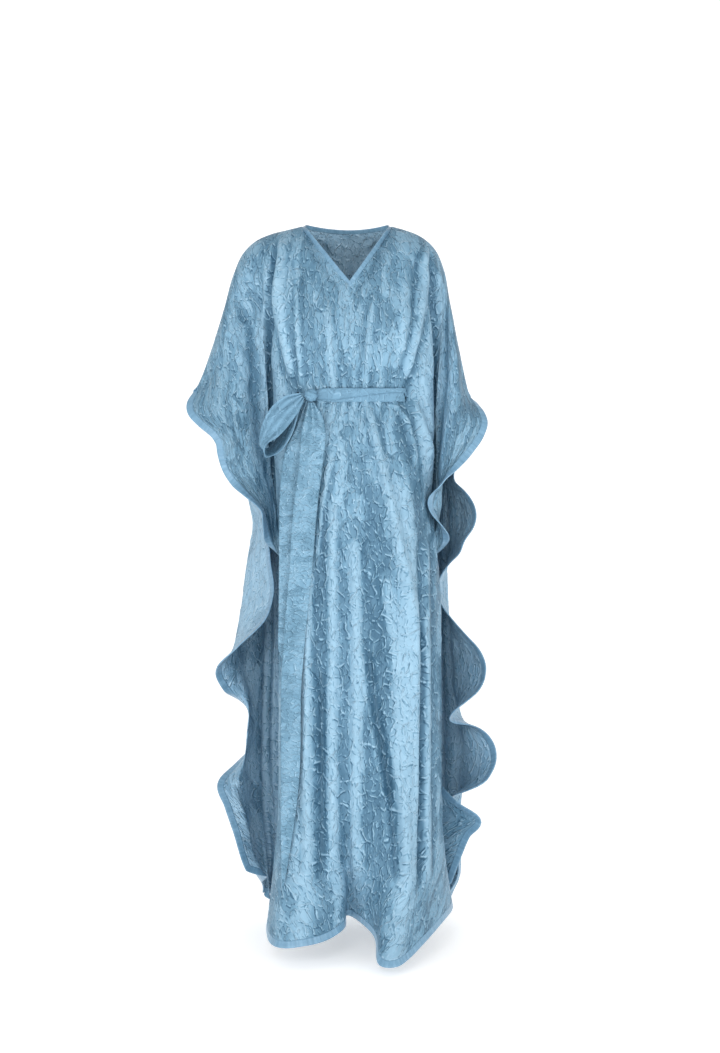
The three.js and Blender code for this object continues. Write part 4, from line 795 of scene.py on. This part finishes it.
drawn_in = 1 - 0.62 * np.exp(-(((path[:, 0] + 100) / 34) ** 2)) * (path[:, 1] < -40)
lift = [(-14, -1.1, 0), (-11, -1.0, 0), (-6, -1.1, 0), (0, -1.2, 0), (6, -1.2, 0), (11, -1.1, 0), (13.4, -0.9, 0),
        (14, 0.1, 0), (13.3, 1.05, 0), (12.6, 1.15, 0.12), (11, 1.2, 0.3), (9, 1.3, 0.5), (7, 1.3, 0.75), (5, 1.2, 1)]
layer = np.zeros((len(steps), len(lift), 3))
for k, (rise, out, front_share) in enumerate(lift):
    if front_share:
        rise, out = 12.6 - front_share * (fall - 1.4), out + 0.25
    ripple = 0.2 * np.sin(steps * 0.9 + k * 0.8) * np.sin(steps * 0.23 + k)
    ripple = ripple + 0.45 * np.sin(k * 1.9 + steps * 0.07)
    layer[:, k, :2] = path + off * (out + ripple)[:, None]
    layer[:, k, 2] = -BELT["down"] + rise * drawn_in - 4 * (1 - drawn_in) + 0.3 * np.sin(steps * 0.37 + 1)
layer[-1] = layer[0]
around = np.broadcast_to(steps[:, None] * 3.1, layer.shape[:2])
up_at = np.broadcast_to(np.linspace(0, 50, layer.shape[1]), layer.shape[:2])
belt = lay("belt", layer, up_at, around, thick=0.9)
bpy.ops.object.mode_set(mode="EDIT")
bpy.ops.mesh.select_all(action="SELECT")
bpy.ops.mesh.remove_doubles(threshold=0.00002)
bpy.ops.object.mode_set(mode="OBJECT")
belt.data.materials.append(TIED_FINISH)
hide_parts("belt_band")
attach(belt, "root")

# Knot. The sash's two ends cross and tie in one tight round knot, a little to the wearer's right. Its
# wraps show as swelling bands that run round it and pinch together at its two sides.
low, high = (np.array(c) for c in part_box("belt_knot"))
centre = (low + high) / 2
bpy.ops.object.select_all(action="DESELECT")
bpy.ops.mesh.primitive_uv_sphere_add(segments=96, ring_count=64, radius=0.5, location=(0, 0, 0))
knot = bpy.context.object
knot.name = knot.data.name = "knot"
spots = np.empty(len(knot.data.vertices) * 3)
knot.data.vertices.foreach_get("co", spots)
ball = spots.reshape(-1, 3) * 2
bands = 0.12 * np.abs(np.sin(3.4 * ball[:, 2] + 2.0 * ball[:, 0] + 0.5)) ** 0.6
bands += 0.03 * np.sin(9 * ball[:, 2] + 3 * ball[:, 0] + 2 * np.sin(3 * ball[:, 1])) + 0.02 * np.sin(
    14 * ball[:, 0] - 6 * ball[:, 2])
pinch = 1 - 0.16 * np.exp(-((np.abs(ball[:, 0]) - 1) / 0.25) ** 2)
body = ball * (0.86 + bands)[:, None]
body[:, 2] *= pinch
knot.data.vertices.foreach_set("co", (centre + body * (high - low) / 2).ravel())
for loop in knot.data.uv_layers.active.data:
    loop.uv = (loop.uv[0] * 0.09, loop.uv[1] * 0.05)
knot.data.update()
bpy.ops.object.shade_smooth()
knot.data.materials.append(TIED_FINISH)
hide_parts("belt_knot")
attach(knot, "root")

# Bow loop. One loop of the sash, drawn out of the knot: it leaves gathered, opens to its full width
# and turns back at the bottom in a soft open eye. Its outer and inner edges run as the table says.
BOW_LOOP = table("outer outer_down outer_off inner inner_down inner_off", [
    (-100, 347, 8, -92, 358, 10), (-133, 354, 16, -102, 383, 24), (-162, 382, 22, -120, 409, 36),
    (-178, 418, 22, -140, 431, 44), (-182, 451, 12, -167, 451, 46), (-166, 458, -2, -168, 474, 36),
    (-154, 447, -6, -146, 469, 24), (-143, 426, -5, -127, 450, 18), (-131, 397, -2, -112, 420, 14),
    (-119, 372, 0, -103, 387, 10), (-100, 356, 2, -92, 362, 5),
])
s = np.linspace(0, 10, 141)
sides = []
for rim in ("outer", "inner"):
    aside, off, down = (through(list(range(11)), BOW_LOOP[rim + key], s) for key in ("", "_off", "_down"))
    sides.append(np.stack([aside, centre[1] * 1000 - off, -down], -1))
t = np.linspace(0, 1, 25)
loop = mix(sides[0][:, None], sides[1][:, None], t[:, None])
level = np.cross(np.gradient(loop, axis=0), np.gradient(loop, axis=1))
level /= np.linalg.norm(level, axis=-1, keepdims=True)
gather = np.exp(-np.minimum(s, 10 - s) / 1.7)[:, None]
ruck = (0.35 + 1.2 * gather) * np.sin(t * 20 + 1 + 0.5 * s[:, None])
ruck = ruck + 0.5 * np.sin(t * 9 + s[:, None] * 1.3) * (1 - gather)
loop += level * (ruck + 0.4 * np.sin(s[:, None] * 5 + t * 14))[..., None]
turned = smooth((s[:, None] - 4.4) / 0.9) * smooth((9.6 - s[:, None]) / 2.0)
# shade is painted into the bow's colour through the relief attribute: painted shade inside the turned-back end of the
# loop, a painted highlight along its rim, and painted light and shade along the rucks.
shade = ruck * 0.3 - turned * (1.3 - 1.7 * smooth((t - 0.74) / 0.16))
bow = lay("bow", loop, np.broadcast_to(t * 46, ruck.shape), np.broadcast_to(s[:, None] * 25, ruck.shape),
          shade, 1.1)
bow.data.materials.append(TIED_FINISH)
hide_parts("bow_loop")
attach(bow, "root")

# Tails. The sash's two free ends hang from under the knot, the short one behind the long one. Each
# leaves the knot in close pleats that open out flat, and is cut off at a slant.
LONG_TAIL = table("down left right off", [
    (365.7, -83, -72, 13), (392, -90, -55, 14), (430, -98, -48, 12), (500, -103, -55, 11),
    (580, -113, -65, 11), (700, -121, -75, 11), (820, -131, -87, 11), (940, -138, -97, 11),
    (1070, -139, -99, 8), (1150, -139, -104, 7), (1240, -139, -116, 6), (1335, -136, -132, 6),
])
SHORT_TAIL = table("down left right off", [
    (362.5, -87, -79, 8.5), (386, -96, -80, 5), (412, -106, -76, 5), (470, -132, -88, 5),
    (560, -141, -94, 5), (680, -142, -95, 5), (800, -143, -96, 5), (862, -143, -97, 5), (905, -122, -97, 5),
])


def foremost(down, left, right):
    """How far forward the front panel comes at a height, between two places across it."""
    cut = np.arange(-0.46, -0.0599, 0.01)[:, None]
    point, out = outward_of(cut, down[None])
    point += out * fold_height(FRONT_FOLDS, cut + 0 * down[None], down[None] + 0 * cut)[..., None]
    inside = (point[..., 0] > left - 6) & (point[..., 0] < right + 6)
    return np.max(np.where(inside, -point[..., 1], 0), axis=0)


for name, rows, replaced, count in (("tail_long", LONG_TAIL, "long_tail", 240),
                                    ("tail_short", SHORT_TAIL, "short_tail", 140)):
    s = np.linspace(0, len(rows["down"]) - 1, count + 1)
    at = list(range(len(rows["down"])))
    down, left, right, off = (through(at, rows[key], s) for key in ("down", "left", "right", "off"))
    middle = (left + right) / 2
    fore = [foremost(down, left, middle) + off, foremost(down, middle, right) + off]
    ease = np.ones(9) / 9
    fore = [np.convolve(np.pad(side, 4, mode="edge"), ease, mode="valid") for side in fore]
    t = np.linspace(0, 1, 17)
    points = np.stack([mix(left[:, None], right[:, None], t), -mix(fore[0][:, None], fore[1][:, None], t),
                       np.broadcast_to(-down[:, None], (len(down), 17)).copy()], -1)
    gather = np.exp(-(down - down[0]) / 70)[:, None]
    ruck = gather * 1.6 * np.sin(t * 17) + 0.7 * np.sin(t * 5 + down[:, None] / 90) * (1 - gather)
    ruck += 0.35 * np.sin(down[:, None] / 9 + 3 * t) * np.sin(down[:, None] / 31)
    points[..., 1] -= ruck
    # ruck * 0.2 goes into the relief attribute and is painted into the colour: pleat ridges painted lighter, their
    # hollows painted darker.
    tail = lay(name, points, mix(left[:, None], right[:, None], t), np.broadcast_to(down[:, None], ruck.shape),
               ruck * 0.2, 1.2)
    tail.data.materials.append(SASH_FINISH)
    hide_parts(replaced)
    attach(tail, "root")

# Studio. A pale floor that sweeps up behind, a large soft light ahead and above, and two weaker ones
# at each side. The camera stands level with the waist and looks very slightly down.
bpy.ops.object.select_all(action="DESELECT")
bpy.ops.mesh.primitive_grid_add(x_subdivisions=2, y_subdivisions=80, size=1, location=(0, 0, 0))
floor = bpy.context.object
floor.name = "floor"
for vertex in floor.data.vertices:
    run = (vertex.co.y + 0.5) * 30
    bend = min(max(run - 17, 0), 3.0 * math.pi / 2)
    rest = max(run - 17 - 3.0 * math.pi / 2, 0)
    vertex.co = (vertex.co.x * 30, -7 + min(run, 17) + 3.0 * math.sin(bend / 3.0),
                 -1.5 + 3.0 * (1 - math.cos(bend / 3.0)) + rest)
bpy.ops.object.shade_smooth()
paper = bpy.data.materials.new("studio_paper")
paper.use_nodes = True
paper.node_tree.nodes["Principled BSDF"].inputs["Base Color"].default_value = (0.93, 0.93, 0.93, 1)
paper.node_tree.nodes["Principled BSDF"].inputs["Roughness"].default_value = 0.9
paper.node_tree.nodes["Principled BSDF"].inputs["Specular IOR Level"].default_value = 0.1
paper.node_tree.nodes["Principled BSDF"].inputs["Emission Color"].default_value = (1, 1, 1, 1)
paper.node_tree.nodes["Principled BSDF"].inputs["Emission Strength"].default_value = 0.42
floor.data.materials.append(paper)


def lamp(name, place, target, size, power):
    light = bpy.data.lights.new(name, "AREA")
    light.shape, light.size, light.energy = "SQUARE", size, power
    holder = bpy.data.objects.new(name, light)
    bpy.context.scene.collection.objects.link(holder)
    holder.location = place
    way = [t - p for t, p in zip(target, place)]
    holder.rotation_euler = (math.acos(-way[2] / math.hypot(*way)), 0, math.atan2(way[1], way[0]) - math.pi / 2)


lamp("key", (-0.5, -4.6, 0.8), (0, 0, -0.6), 1.2, 58)
lamp("fill_right", (1.6, -4.2, 0.0), (0.2, 0, -0.8), 1.6, 30)
lamp("fill_left", (-2.2, -4.0, 0.0), (-0.2, 0, -0.8), 1.6, 20)
lamp("side_right", (2.6, -2.4, -0.6), (0.1, 0.1, -0.9), 1.4, 22)
lamp("side_left", (-2.6, -2.4, -0.6), (-0.1, 0.1, -0.9), 1.4, 22)
world = bpy.data.worlds.new("studio")
bpy.context.scene.world = world
world.use_nodes = True
world.node_tree.nodes["Background"].inputs["Color"].default_value = (1, 1, 1, 1)
world.node_tree.nodes["Background"].inputs["Strength"].default_value = 0.62
bpy.context.scene.view_settings.view_transform = "Standard"
eye = bpy.data.cameras.new("camera")
eye.sensor_fit = "VERTICAL"
eye.sensor_height = 36.0
eye.lens = 2164 / 1053 * 36
camera = bpy.data.objects.new("camera", eye)
bpy.context.scene.collection.objects.link(camera)
camera.location = (0.0208, -4.5, -0.35)
camera.rotation_euler = (math.radians(90 - 3.485), 0, 0)
bpy.context.scene.camera = camera
